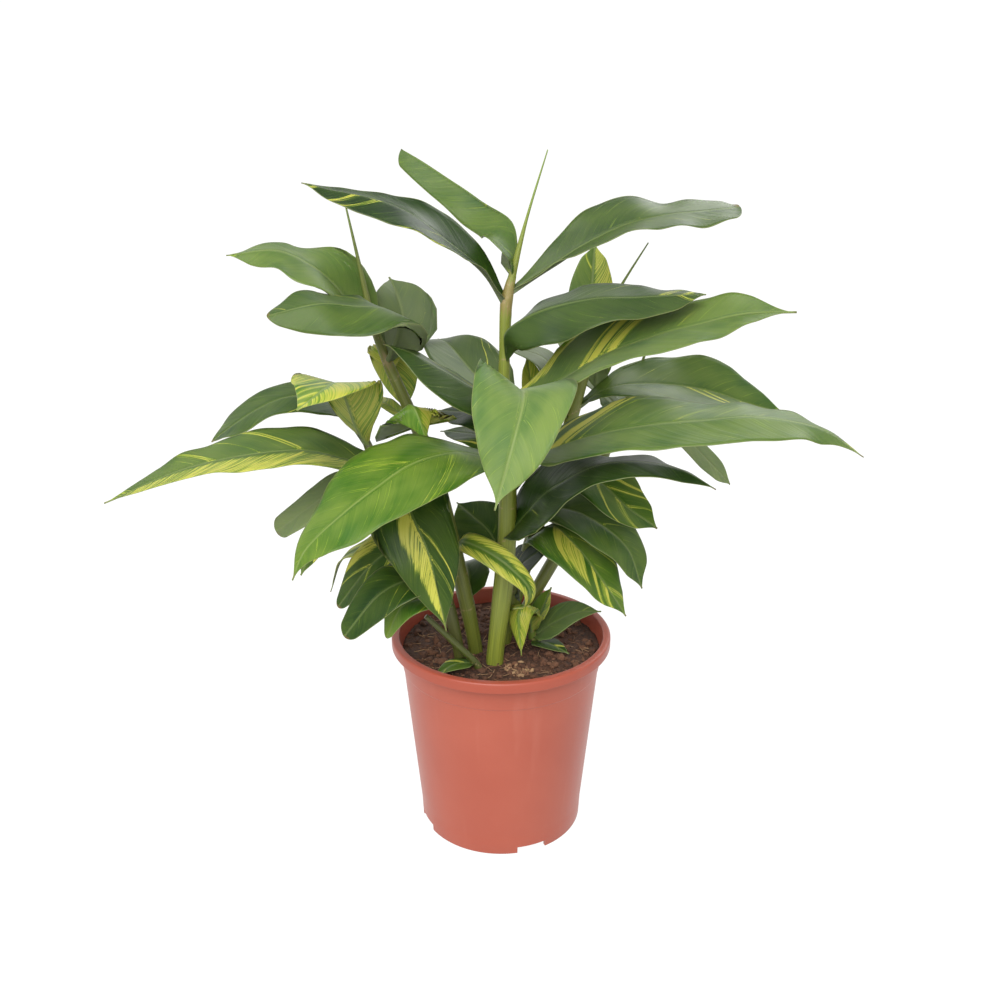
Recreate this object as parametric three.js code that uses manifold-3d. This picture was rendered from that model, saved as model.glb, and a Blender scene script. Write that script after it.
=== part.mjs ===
import * as THREE from "three";
import { mergeVertices } from "three/addons/utils/BufferGeometryUtils.js";
import Module from "manifold-3d";

// Potted variegated shell ginger, about 64 cm tall in a 21 cm pot.
// Millimetres, +Z up, the origin at the middle of the pot's foot, -Y toward the viewer.

const wasm = await Module();
wasm.setup();

const ROUND_SIDES = 48;
const CLEARANCE = 0.35;

// The pot: one thin wall, a rolled lip with a short skirt, a foot ring with notches,
// and a small pad under the middle of the floor.
const POT_HEIGHT = 198;
const RIM_RADIUS = 105;
const LIP_DROP = 10;
const LIP_THICKNESS = 3;
const WALL = 1.8;
const BODY_TOP_RADIUS = 97;
const BODY_FOOT_RADIUS = 80;
const BODY_FOOT_HEIGHT = 20;
const STEP_HEIGHT = 166;
const STEP_DEPTH = 0.7;
const FLOOR = 2;
const FLOOR_UNDERSIDE = 6;
const FLOOR_RADIUS = 73;
const INSIDE_CORNER_RADIUS = 77;
const INSIDE_CORNER_RISE = 8;
const LIP_INNER_RADIUS = 99;
const LIP_INNER_BEVEL = 1.4;
const LIP_INNER_DROP = 2;
const LIP_OUTER_BEVEL = 2;
const LIP_OUTER_DROP = 1.2;
const LIP_ROOT_RADIUS = 98.2;
const FOOT_EDGE = 1;
const PAD_RADIUS = 12;
const FOOT_RADIUS = 79;
const FOOT_WIDTH = 4;
const NOTCH_COUNT = 4;
const NOTCH_WIDTH = 29;
const NOTCH_HEIGHT = 7;
const NOTCH_REACH = 40;
const NOTCH_TURN = 22;
const DRAIN_COUNT = 6;
const DRAIN_RADIUS = 5;
const DRAIN_RING = 48;
const DRAIN_SIDES = 12;

// The soil: peat filled to 14 mm under the rim, a little uneven.
const SOIL_HEIGHT = 184;
const SOIL_RINGS = [12, 30, 48, 64, 78, 88];
const SOIL_SIDES = 30;
const SOIL_UNEVENNESS = 1.6;
const SOIL_EDGE_DROP = 2;
const SOIL_CORNER_RADIUS = 75.7;
const SOIL_CORNER_RISE = 10;
const SOIL_FOOT_RADIUS = 71;

// The canes: leaf sheaths rolled around each other, with a young rolled leaf at the top.
const CANE_SIDES = 10;
const CANE_DEPTH = 30;
const COLLAR_RISE = 0.8;
const COLLAR_LENGTH = 3;
const CANE_SECTION = 45;

// A blade: thickness, the midrib under it, and the spacing of its rows.
const BLADE = 0.8;
const RIB_AT_ROOT = 2.6;
const RIB_AT_TIP = 0.9;
const ROW_SPACING = 25;
const FEWEST_ROWS = 5;
const MOST_ROWS = 11;
const HALF_COLUMNS = 2;
const NARROW_LEAF = 36;
const STALK_HALF_WIDTH = 3;
const TIP_HALF_WIDTH = 0.7;
const TIP_START = 0.87;
const TIP_BEND = 1.6;

// Share of the length from the cane against share of the half width.
const LEAF_OUTLINE = [
  [0, 0.05],
  [0.1, 0.33],
  [0.25, 0.8],
  [0.42, 1],
  [0.6, 0.93],
  [0.78, 0.62],
  [0.9, 0.27],
  [0.96, 0.1],
  [1, 0.02],
];

// Every cane: points up its middle with the radius there; the last two make the rolled leaf.
const CANES = {
  a: [
    [-6, -37, 183, 9.6], [4, -32, 284, 8.6], [6, -26, 368, 7], [3, -22, 431, 5.4],
    [3, -20, 474, 5.2], [5, -18, 517, 5.6], [9, -17, 535, 4], [21, -14, 582, 1.4],
    [38, -10, 637, 0.5],
  ],
  b: [
    [3, 2, 183, 7.5], [34, 25, 297, 7], [57, 32, 369, 6], [74, 36, 431, 5],
    [83, 38, 467, 4.2], [92, 40, 492, 3], [112, 46, 526, 1.2], [132, 52, 557, 0.5],
  ],
  c: [
    [14, 22, 183, 7], [72, 45, 293, 6.2], [106, 66, 371, 5],
    [125, 78, 414, 2.6], [140, 86, 455, 1.1], [152, 92, 495, 0.5],
  ],
  d: [
    [-24, -16, 183, 8], [-41, -16, 278, 7.2], [-62, -8, 367, 6], [-84, 0, 421, 5.2],
    [-101, 4, 460, 4.8], [-111, 6, 489, 4], [-123, 10, 546, 1.7], [-135, 14, 605, 0.5],
  ],
  e: [
    [-38, -36, 183, 6], [-53, -32, 254, 6.2], [-84, -24, 330, 5.8], [-113, -17, 376, 4.6],
    [-121, -14, 394, 3.2],
  ],
  f: [[31, 3, 183, 4.6], [30, 2, 194, 4], [29, 1, 205, 1.6]],
  g: [[-20, -50, 183, 4], [-44, -51, 212, 3.4], [-68, -52, 238, 2.2]],
};

// The young shoots are one piece with their leaves.
const SHOOTS = { f: "shoot_right", g: "shoot_left" };

const GREEN = 0x3f6b2c;
const DARK = 0x2b4a26;
const LIGHT = 0x5f8f3a;
const GREY = 0x6d7f66;
const STRIPED = 0x8f9f45;

// Every leaf: its cane and the height it leaves it, points along the midrib, its width,
// and, from the cane to the tip in degrees, the roll of the blade and the rise of each half.
const LEAVES = {
  leaf_a_top_left: {
    cane: "a", from: 536, width: 60, tone: LIGHT, end: 0.72, belly: 0.48, blunt: 1,
    rib: [[14, -8, 555], [10, 5, 579], [-18, 25, 597], [-87, 55, 637]],
    roll: [0, 0], left: [0, -45, -50, -60], right: [-66, -66, -74, -45],
  },
  leaf_a_left: {
    cane: "a", from: 512, width: 55, tone: DARK, end: 0.93,
    rib: [[-12, -26, 538], [-42, -38, 567], [-79, -48, 594], [-156, -56, 614]],
    roll: [0, 0], left: [0, -5, -35, -45], right: [50, 36, -10, -15],
    rightCurl: [0, 20, 50, 30],
  },
  leaf_a_top_right: {
    cane: "a", from: 522, width: 69, tone: GREEN, end: 0.8, belly: 1.2, blunt: 1,
    rib: [[44, -10, 546], [80, -5, 566], [117, 0, 580], [201, 4, 592]],
    roll: [0, 0], left: [40, 52, 45, 12, 8], right: [0, 5, 0, -16, -18],
  },
  leaf_a_right: {
    cane: "a", from: 464, width: 66, tone: DARK, end: 0.9, belly: 0.9,
    rib: [[4, -40, 493], [19, -46, 505], [38, -51, 514], [80, -58, 524], [165, -60, 528]],
    roll: [0, 0], left: [-50, 10, 10, 8], right: [-78, -55, -32, -30],
  },
  leaf_b_upright: {
    cane: "b", from: 464, width: 43, tone: STRIPED, end: 0.93,
    rib: [[83, 62, 472], [84, 72, 512], [87, 85, 553]],
    roll: [0, 0], left: [10, 10], right: [10, 10],
  },
  leaf_a_striped_right: {
    cane: "a", from: 425, width: 82, tone: STRIPED,
    rib: [[45, -48, 453], [81, -62, 477], [136, -70, 500], [191, -72, 514], [235, -75, 516]],
    roll: [0, 0], left: [38, 38, 32, 55], right: [0, -5, -17, -17],
  },
  leaf_b_right: {
    cane: "b", from: 408, width: 78, tone: DARK, belly: 1.15,
    rib: [[97, 40, 426], [135, 52, 428], [192, 60, 420], [240, 64, 405], [277, 66, 394]],
    roll: [0, 0], left: [5, 26, 48, 55], right: [-10, -10, -10, -10],
  },
  leaf_a_longest: {
    cane: "a", from: 374, width: 80, tone: GREEN, end: 0.96, belly: 0.93,
    rib: [
      [44, -60, 399], [86, -85, 420], [137, -100, 433],
      [198, -108, 438], [254, -110, 429], [289, -112, 407],
    ],
    roll: [0, 0], left: [38, 25, 4, -8], right: [-8, -15, -22, -22],
  },
  leaf_a_arched: {
    cane: "a", from: 305, width: 72, tone: DARK, end: 0.93, belly: 0.62,
    rib: [
      [29, -48, 345], [49, -74, 372], [79, -89, 393],
      [117, -98, 399], [145, -102, 394], [175, -104, 377],
    ],
    roll: [0, 0], left: [45, 30, -5, -25], right: [-25, -35, -25, -15, -50],
  },
  leaf_c_right: {
    cane: "c", from: 372, width: 40, tone: GREY, end: 0.85,
    rib: [[135, 75, 382], [178, 85, 369], [202, 88, 347], [231, 90, 316]],
    roll: [10, 40], left: [0, 0], right: [0, 0],
  },
  leaf_b_low_right: {
    cane: "b", from: 340, width: 56, tone: STRIPED, end: 0.93,
    rib: [[69, 15, 349], [90, -5, 350], [112, -22, 333], [140, -34, 316]],
    roll: [10, 10], left: [30, 20], right: [0, -5],
  },
  leaf_b_ridged: {
    cane: "b", from: 305, width: 60, tone: DARK, end: 0.92, belly: 0.8,
    rib: [[59, 0, 323], [90, -20, 315], [114, -30, 295], [129, -36, 258]],
    roll: [10, 10], left: [15, 0], right: [0, 0],
  },
  leaf_b_hanging: {
    cane: "b", from: 285, width: 72, tone: STRIPED, end: 0.95, belly: 0.8,
    rib: [[49, -12, 310], [69, -30, 297], [87, -42, 277], [113, -54, 239]],
    roll: [10, 0], left: [0, 0], right: [0, 0],
  },
  leaf_b_low: {
    cane: "b", from: 232, width: 60, tone: DARK, belly: 0.58,
    rib: [[16, 4, 261], [34, 0, 280], [53, 6, 290]],
    roll: [10, 10], left: [10, 10], right: [-5, -5],
  },
  leaf_a_front: {
    cane: "a", from: 436, width: 84, tone: LIGHT,
    rib: [[9, -58, 449], [18, -105, 458], [12, -145, 439], [-5, -172, 383]],
    roll: [0, 0], left: [0, 10, 15, 0], right: [20, 40, 10, 0],
  },
  leaf_a_dark_left: {
    cane: "a", from: 428, width: 70, tone: DARK, belly: 0.85,
    rib: [[-22, -40, 446], [-51, -52, 466], [-73, -60, 480], [-95, -66, 489]],
    roll: [0, 0], left: [-35, -40, -45], right: [7, 5, 0],
  },
  leaf_a_behind_left: {
    cane: "a", from: 414, width: 76, tone: GREY,
    rib: [[-12, -6, 436], [-30, 10, 454], [-47, 30, 469], [-59, 62, 469]],
    roll: [0, 0], left: [10, 10], right: [10, 10],
  },
  leaf_a_front_left: {
    cane: "a", from: 378, width: 84, tone: LIGHT, end: 0.97,
    rib: [[-38, -75, 399], [-80, -118, 398], [-121, -150, 375], [-150, -166, 350], [-161, -172, 326]],
    roll: [0, 0], left: [-10, -20, -20], right: [10, 14, 0],
  },
  leaf_d_hanging: {
    cane: "d", from: 350, width: 76, tone: STRIPED, belly: 0.9,
    rib: [[-71, -45, 365], [-78, -76, 354], [-61, -98, 319], [-46, -112, 252]],
    roll: [0, 0], left: [-25, -28, -30], right: [0, 0],
  },
  leaf_d_narrow: {
    cane: "d", from: 288, width: 24, tone: STRIPED, end: 0.97,
    rib: [[-33, -48, 309], [-12, -62, 305], [9, -70, 292], [25, -72, 273], [22, -68, 255], [11, -64, 250]],
    roll: [40, 30, -10], left: [0, 0], right: [0, 0],
  },
  leaf_e_low_left: {
    cane: "e", from: 302, width: 50, tone: STRIPED, end: 0.9, belly: 0.8, blunt: 1,
    rib: [[-91, -36, 301], [-116, -40, 285], [-148, -48, 245]],
    roll: [-35, -25], left: [0, 0], right: [0, 0],
  },
  leaf_e_low_dark: {
    cane: "e", from: 251, width: 50, tone: DARK, end: 0.85, belly: 0.8, blunt: 1,
    rib: [[-77, -84, 289], [-101, -97, 282], [-134, -107, 245]],
    roll: [-20, -10], left: [0, 0], right: [0, 0],
  },
  leaf_e_thin: {
    cane: "e", from: 332, width: 32, tone: STRIPED, belly: 0.8,
    rib: [[-133, 22, 276], [-153, 22, 263], [-166, 19, 230]],
    roll: [-20, -20], left: [0, 0], right: [0, 0],
  },
  leaf_e_small: {
    cane: "e", from: 243, width: 42, tone: GREEN, end: 0.92, belly: 0.8, blunt: 1,
    rib: [[-68, -66, 263], [-87, -80, 261], [-100, -90, 235]],
    roll: [-10, 0], left: [0, 0], right: [0, 0],
  },
  leaf_e_behind_front_left: {
    cane: "e", from: 330, width: 36, tone: DARK, end: 0.9,
    rib: [[-122, -40, 358], [-146, -74, 344], [-169, -100, 299]],
    roll: [-10, -10], left: [0, 0], right: [0, 0],
  },
  leaf_e_grey: {
    cane: "e", from: 330, width: 35, tone: GREY, end: 0.7, blunt: 1,
    rib: [[-139, -10, 350], [-167, -24, 337], [-202, -34, 313]],
    roll: [-30, -30], left: [0, 0], right: [0, 0],
  },
  leaf_d_front: {
    cane: "d", from: 400, width: 80, tone: GREY, belly: 0.5, blunt: 1,
    rib: [[-80, -30, 429], [-75, -38, 429], [-69, -44, 417], [-64, -48, 399]],
    roll: [0, 0], left: [-10, -30, -40], right: [-10, -35, -45],
  },
  leaf_d_left: {
    cane: "d", from: 482, width: 66, tone: GREEN, end: 0.95, belly: 0.8,
    rib: [[-131, 2, 513], [-156, -6, 540], [-186, -12, 556], [-230, -16, 554]],
    roll: [0, 0], left: [-10, -8, -35, -60], right: [60, 60, 10, 0],
  },
  leaf_d_folded: {
    cane: "d", from: 458, width: 74, tone: GREY, end: 0.93, blunt: 1,
    rib: [[-86, -24, 496], [-92, -40, 511], [-121, -56, 519], [-145, -66, 522], [-188, -70, 512]],
    roll: [0, 0], left: [60, 0, -45, -50], right: [0, 0, 10, 12],
  },
  leaf_d_upright: {
    cane: "d", from: 466, width: 64, tone: GREY, belly: 0.85,
    rib: [[-88, 25, 488], [-92, 38, 508], [-102, 60, 526]],
    roll: [0, 0], left: [30, 30], right: [5, 5],
  },
  leaf_d_yellow: {
    cane: "d", from: 450, width: 46, tone: STRIPED,
    rib: [[-102, 30, 469], [-95, 36, 445], [-88, 34, 406]],
    roll: [0, 0], left: [0, 0], right: [0, 0],
  },
  leaf_e_dark_left: {
    cane: "e", from: 374, width: 50, tone: DARK, end: 0.8, belly: 1.1,
    rib: [[-143, 8, 415], [-178, -4, 430], [-216, -18, 421], [-254, -28, 395]],
    roll: [-18, -18], left: [0, 0], right: [0, 0],
  },
  leaf_e_folding: {
    cane: "e", from: 388, width: 72, tone: STRIPED, belly: 1.1, blunt: 1,
    rib: [[-126, -26, 410], [-133, -36, 438], [-138, -50, 452], [-143, -84, 456], [-159, -118, 447]],
    roll: [0, 0], left: [20, 20, 0, 0], right: [20, 20, 0, 0],
  },
  leaf_e_long: {
    cane: "e", from: 366, width: 62, tone: STRIPED, end: 0.97, belly: 0.7,
    rib: [[-132, -34, 380], [-171, -54, 395], [-250, -80, 391], [-327, -98, 363]],
    roll: [-12, -12], left: [4, 6], right: [16, 10, 4],
  },
  leaf_d_behind_low: {
    cane: "d", from: 236, width: 40, tone: DARK,
    rib: [[-30, 4, 250], [-34, 28, 256], [-38, 52, 248]],
    roll: [0, 0], left: [10, 10], right: [10, 10],
  },
  leaf_a_behind_low: {
    cane: "a", from: 284, width: 56, tone: DARK,
    rib: [[-12, 0, 301], [-27, 20, 308], [-43, 45, 313]],
    roll: [-25, -25], left: [0, 0], right: [0, 0],
  },
  leaf_a_behind_middle: {
    cane: "a", from: 372, width: 40, tone: DARK,
    rib: [[-15, 0, 390], [-36, 22, 390], [-57, 40, 386]],
    roll: [-10, -10], left: [0, 0], right: [0, 0],
  },
  leaf_a_behind_high: {
    cane: "a", from: 392, width: 44, tone: DARK,
    rib: [[-17, 2, 412], [-36, 22, 409], [-59, 44, 405]],
    roll: [-20, -20], left: [0, 0], right: [0, 0],
  },
  leaf_c_back_up: {
    cane: "c", from: 396, width: 50, tone: GREY, end: 0.82, blunt: 1,
    rib: [[81, 94, 430], [67, 104, 450], [55, 110, 466]],
    roll: [0, 0], left: [10, 10], right: [10, 10],
  },
  leaf_b_arching_left: {
    cane: "b", from: 394, width: 60, tone: GREY, end: 0.85, blunt: 1,
    rib: [[53, 40, 427], [42, 46, 452], [10, 50, 464]],
    roll: [0, 0], left: [0, 0], right: [0, 0],
  },
  leaf_b_small_upright: {
    cane: "b", from: 350, width: 44, tone: STRIPED, end: 0.97,
    rib: [[37, 42, 396], [30, 50, 418], [24, 56, 456]],
    roll: [0, 0], left: [12, 12], right: [12, 12],
  },
  leaf_b_green_hanging: {
    cane: "b", from: 452, width: 30, tone: GREEN,
    rib: [[89, 60, 453], [91, 68, 436], [91, 68, 416]],
    roll: [0, 0], left: [0, 0], right: [0, 0],
  },
  leaf_c_far_right: {
    cane: "c", from: 386, width: 56, tone: DARK,
    rib: [[119, 110, 400], [165, 150, 396], [213, 185, 377]],
    roll: [0, 0], left: [10, 0], right: [10, 0],
  },
  leaf_a_far: {
    cane: "a", from: 340, width: 52, tone: GREEN,
    rib: [[14, 30, 368], [13, 80, 360], [9, 130, 335]],
    roll: [0, 0], left: [10, 0], right: [10, 0],
  },
  leaf_d_far_left: {
    cane: "d", from: 385, width: 50, tone: GREEN,
    rib: [[-66, 30, 370], [-85, 80, 360], [-102, 125, 333]],
    roll: [0, 0], left: [10, 0], right: [10, 0],
  },
  leaf_c_far_low: {
    cane: "c", from: 300, width: 50, tone: STRIPED,
    rib: [[90, 85, 290], [114, 120, 283], [135, 150, 253]],
    roll: [0, 0], left: [10, 0], right: [10, 0],
  },
  leaf_d_far_low: {
    cane: "d", from: 270, width: 46, tone: DARK,
    rib: [[-59, 25, 276], [-76, 65, 266], [-93, 100, 236]],
    roll: [0, 0], left: [10, 0], right: [10, 0],
  },
  shoot_right_striped: {
    cane: "f", from: 196, width: 30, tone: STRIPED, belly: 0.72,
    rib: [[24, -12, 231], [17, -22, 228], [19, -30, 186]],
    roll: [0, 0], left: [-12, -12], right: [-12, -12],
  },
  shoot_right_upright: {
    cane: "f", from: 202, width: 26, tone: STRIPED, belly: 0.8,
    rib: [[38, 9, 214], [48, 14, 237]],
    roll: [0, 0], left: [10, 10], right: [10, 10],
  },
  shoot_right_broad: {
    cane: "f", from: 190, width: 40, tone: GREY, belly: 0.75,
    rib: [[52, -2, 208], [72, -10, 222], [94, -16, 226]],
    roll: [10, 10], left: [20, 10], right: [-10, -10],
  },
  shoot_right_low: {
    cane: "f", from: 187, width: 26, tone: GREEN, belly: 0.75,
    rib: [[44, -12, 191], [64, -28, 188]],
    roll: [0, 0], left: [0, 0], right: [0, 0],
  },
  shoot_left_leaf: {
    cane: "g", from: 190, width: 22, tone: GREEN, belly: 0.8,
    rib: [[-42, -58, 193], [-60, -70, 188]],
    roll: [0, 0], left: [0, 0], right: [0, 0],
  },
  leaf_d_small_left: {
    cane: "d", from: 402, width: 20, tone: DARK,
    rib: [[-103, 16, 418], [-115, 32, 418], [-145, 60, 416]],
    roll: [0, 0], left: [0, 0], right: [0, 0],
  },
};

// The pot is a turned profile, with notches in its foot and holes in its floor.
function makePot() {
  const floorTop = FLOOR_UNDERSIDE + FLOOR;
  const skirtEnd = POT_HEIGHT - LIP_DROP;
  const underLip = POT_HEIGHT - LIP_THICKNESS;
  const profile = [
    [0, floorTop],
    [FLOOR_RADIUS, floorTop],
    [INSIDE_CORNER_RADIUS, floorTop + INSIDE_CORNER_RISE],
    [BODY_TOP_RADIUS - WALL, skirtEnd],
    [LIP_INNER_RADIUS - LIP_INNER_BEVEL, POT_HEIGHT - LIP_INNER_DROP],
    [LIP_INNER_RADIUS, POT_HEIGHT],
    [RIM_RADIUS - LIP_OUTER_BEVEL, POT_HEIGHT],
    [RIM_RADIUS - LIP_OUTER_BEVEL / 4, POT_HEIGHT - LIP_OUTER_DROP],
    [RIM_RADIUS, underLip],
    [RIM_RADIUS, skirtEnd],
    [RIM_RADIUS - WALL, skirtEnd],
    [RIM_RADIUS - WALL, underLip],
    [LIP_ROOT_RADIUS, underLip],
    [BODY_TOP_RADIUS, skirtEnd],
    [radiusOfBody(STEP_HEIGHT), STEP_HEIGHT],
    [radiusOfBody(STEP_HEIGHT) - STEP_DEPTH, STEP_HEIGHT - 1],
    [BODY_FOOT_RADIUS, BODY_FOOT_HEIGHT],
    [FOOT_RADIUS, FOOT_EDGE],
    [FOOT_RADIUS - FOOT_EDGE, 0],
    [FOOT_RADIUS - FOOT_WIDTH, 0],
    [FOOT_RADIUS - FOOT_WIDTH, FLOOR_UNDERSIDE],
    [PAD_RADIUS, FLOOR_UNDERSIDE],
    [PAD_RADIUS, 0],
    [0, 0],
  ];
  const points = profile.map(([radius, height]) => new THREE.Vector2(radius, height));
  let pot = solidOf(new THREE.LatheGeometry(points, ROUND_SIDES).rotateX(Math.PI / 2));
  for (let i = 0; i < NOTCH_COUNT; i += 1) {
    const notch = new THREE.BoxGeometry(NOTCH_WIDTH, NOTCH_REACH, NOTCH_HEIGHT * 2);
    notch.translate(0, -FOOT_RADIUS, 0);
    notch.rotateZ(THREE.MathUtils.degToRad(NOTCH_TURN + (360 / NOTCH_COUNT) * i));
    pot = pot.subtract(solidOf(notch));
  }
  for (let i = 0; i < DRAIN_COUNT; i += 1) {
    const drain = new THREE.CylinderGeometry(DRAIN_RADIUS, DRAIN_RADIUS, FLOOR * 4, DRAIN_SIDES);
    drain.rotateX(Math.PI / 2);
    drain.translate(DRAIN_RING, 0, FLOOR_UNDERSIDE + FLOOR / 2);
    drain.rotateZ((2 * Math.PI * i) / DRAIN_COUNT);
    pot = pot.subtract(solidOf(drain));
  }
  return pot;
}

function radiusOfBody(height) {
  const share = (height - BODY_FOOT_HEIGHT) / (POT_HEIGHT - LIP_DROP - BODY_FOOT_HEIGHT);
  return BODY_FOOT_RADIUS + (BODY_TOP_RADIUS - BODY_FOOT_RADIUS) * share;
}

function makeSoil() {
  const floorTop = FLOOR_UNDERSIDE + FLOOR;
  const side = radiusOfBody(SOIL_HEIGHT) - WALL - CLEARANCE * 2;
  const rings = SOIL_RINGS.map((r, i) => uneven(circle(r, SOIL_HEIGHT, SOIL_SIDES), i));
  rings.push(circle(side, SOIL_HEIGHT - SOIL_EDGE_DROP, SOIL_SIDES));
  rings.push(circle(SOIL_CORNER_RADIUS, floorTop + SOIL_CORNER_RISE, SOIL_SIDES));
  rings.push(circle(SOIL_FOOT_RADIUS, floorTop + CLEARANCE, SOIL_SIDES));
  let soil = solidFromRings(rings.reverse());
  for (const name of Object.keys(CANES)) soil = soil.subtract(caneSolid(name, CLEARANCE));
  return soil;
}

// Lifts and drops the points of a ring by a few repeating waves.
function uneven(ring, index) {
  return ring.map((p, i) => {
    const lift = Math.sin(i * 2.3 + index * 1.7) + Math.sin(i * 0.9 - index * 2.9);
    return new THREE.Vector3(p.x, p.y, p.z + lift * SOIL_UNEVENNESS * 0.5);
  });
}

function circle(radius, height, sides) {
  return Array.from({ length: sides }, (_, i) => {
    const angle = (2 * Math.PI * i) / sides;
    return new THREE.Vector3(radius * Math.cos(angle), radius * Math.sin(angle), height);
  });
}

// A closed solid through rings of points, its first and last ring closed by a fan.
function solidFromRings(rings) {
  const points = rings.flat();
  const sides = rings[0].length;
  const faces = [];
  for (let r = 0; r + 1 < rings.length; r += 1) {
    for (let i = 0; i < sides; i += 1) {
      const next = (i + 1) % sides;
      const a = r * sides + i;
      const b = r * sides + next;
      faces.push([a, b, b + sides], [a, b + sides, a + sides]);
    }
  }
  const last = (rings.length - 1) * sides;
  const first = points.push(middleOf(rings[0])) - 1;
  const end = points.push(middleOf(rings[rings.length - 1])) - 1;
  for (let i = 0; i < sides; i += 1) {
    const next = (i + 1) % sides;
    faces.push([first, next, i], [end, last + i, last + next]);
  }
  return solidFromFaces(points, faces);
}

function middleOf(ring) {
  const sum = ring.reduce((total, p) => total.add(p), new THREE.Vector3());
  return sum.divideScalar(ring.length);
}

function solidFromFaces(points, faces) {
  const mesh = new wasm.Mesh({
    numProp: 3,
    vertProperties: new Float32Array(points.flatMap((p) => [p.x, p.y, p.z])),
    triVerts: new Uint32Array(faces.flat()),
  });
  const solid = new wasm.Manifold(mesh);
  return solid.volume() < 0 ? solidFromFaces(points, faces.map(([a, b, c]) => [a, c, b])) : solid;
}

// A three.js geometry as a solid: only its positions are kept, and shared corners are joined.
function solidOf(geometry) {
  geometry.deleteAttribute("normal");
  geometry.deleteAttribute("uv");
  const merged = mergeVertices(geometry);
  const positions = merged.getAttribute("position");
  const points = Array.from({ length: positions.count }, (_, i) =>
    new THREE.Vector3().fromBufferAttribute(positions, i));
  const faces = [];
  for (let i = 0; i < merged.index.count; i += 3) {
    const face = [merged.index.getX(i), merged.index.getX(i + 1), merged.index.getX(i + 2)];
    if (new Set(face).size === 3) faces.push(face);
  }
  return solidFromFaces(points, faces);
}

function caneCurve(name) {
  const points = CANES[name].map(([x, y, z]) => new THREE.Vector3(x, y, z));
  points.unshift(points[0].clone().setZ(points[0].z - CANE_DEPTH));
  return new THREE.CatmullRomCurve3(points, false, "centripetal");
}

// The share of a cane's curve where it reaches a height; canes only rise.
function shareAtHeight(curve, height) {
  let low = 0;
  let high = 1;
  for (let i = 0; i < 40; i += 1) {
    const share = (low + high) / 2;
    if (curve.getPoint(share).z < height) low = share;
    else high = share;
  }
  return low;
}

function caneRadius(name, share) {
  const radii = CANES[name].map((row) => row[3]);
  radii.unshift(radii[0]);
  const place = share * (radii.length - 1);
  const i = Math.min(Math.floor(place), radii.length - 2);
  return radii[i] + (radii[i + 1] - radii[i]) * (place - i);
}

// A cane as a tube; the sheath of each leaf ends in a small collar under its stalk.
function caneSolid(name, grow) {
  const curve = caneCurve(name);
  const sections = [];
  const steps = Math.ceil(curve.getLength() / CANE_SECTION);
  for (let i = 0; i <= steps; i += 1) sections.push({ share: i / steps, rise: 0 });
  for (const leaf of Object.values(LEAVES)) {
    if (leaf.cane !== name) continue;
    const low = shareAtHeight(curve, leaf.from - COLLAR_LENGTH);
    const high = shareAtHeight(curve, leaf.from);
    sections.push({ share: low, rise: COLLAR_RISE }, { share: high, rise: 0 });
  }
  sections.sort((a, b) => a.share - b.share);
  const side = new THREE.Vector3(1, 0, 0);
  const rings = sections.map(({ share, rise }) => {
    const middle = curve.getPoint(share);
    const along = curve.getTangent(share);
    const across = side.clone().addScaledVector(along, -side.dot(along)).normalize();
    const third = along.clone().cross(across);
    const radius = caneRadius(name, share) + rise + grow;
    return circle(radius, 0, CANE_SIDES).map((p) =>
      middle.clone().addScaledVector(across, p.x).addScaledVector(third, p.y));
  });
  if (grow > 0) rings[0].forEach((p) => p.setZ(p.z - grow));
  return solidFromRings(rings);
}

// A value that eases through evenly spaced stops from the cane (0) to the tip (1).
function along(stops, share) {
  const place = share * (stops.length - 1);
  const i = Math.min(Math.floor(place), stops.length - 2);
  const rest = place - i;
  const eased = rest * rest * (3 - 2 * rest);
  return stops[i] + (stops[i + 1] - stops[i]) * eased;
}

function outlineShare(share) {
  const i = Math.max(1, LEAF_OUTLINE.findIndex(([x]) => x >= share));
  const [x0, y0] = LEAF_OUTLINE[i - 1];
  const [x1, y1] = LEAF_OUTLINE[i];
  const rest = (share - x0) / (x1 - x0);
  const slope = (k) => {
    const before = LEAF_OUTLINE[Math.max(0, k - 1)];
    const after = LEAF_OUTLINE[Math.min(LEAF_OUTLINE.length - 1, k + 1)];
    return (after[1] - before[1]) / (after[0] - before[0]);
  };
  const h = x1 - x0;
  const r2 = rest * rest;
  const r3 = r2 * rest;
  return y0 * (2 * r3 - 3 * r2 + 1) + h * slope(i - 1) * (r3 - 2 * r2 + rest)
    + y1 * (3 * r2 - 2 * r3) + h * slope(i) * (r3 - r2);
}

function leafCurve(leaf) {
  const cane = caneCurve(leaf.cane);
  const root = cane.getPoint(shareAtHeight(cane, leaf.from));
  const points = leaf.rib.map(([x, y, z]) => new THREE.Vector3(x, y, z));
  return new THREE.CatmullRomCurve3([root, ...points], false, "centripetal");
}

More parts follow.
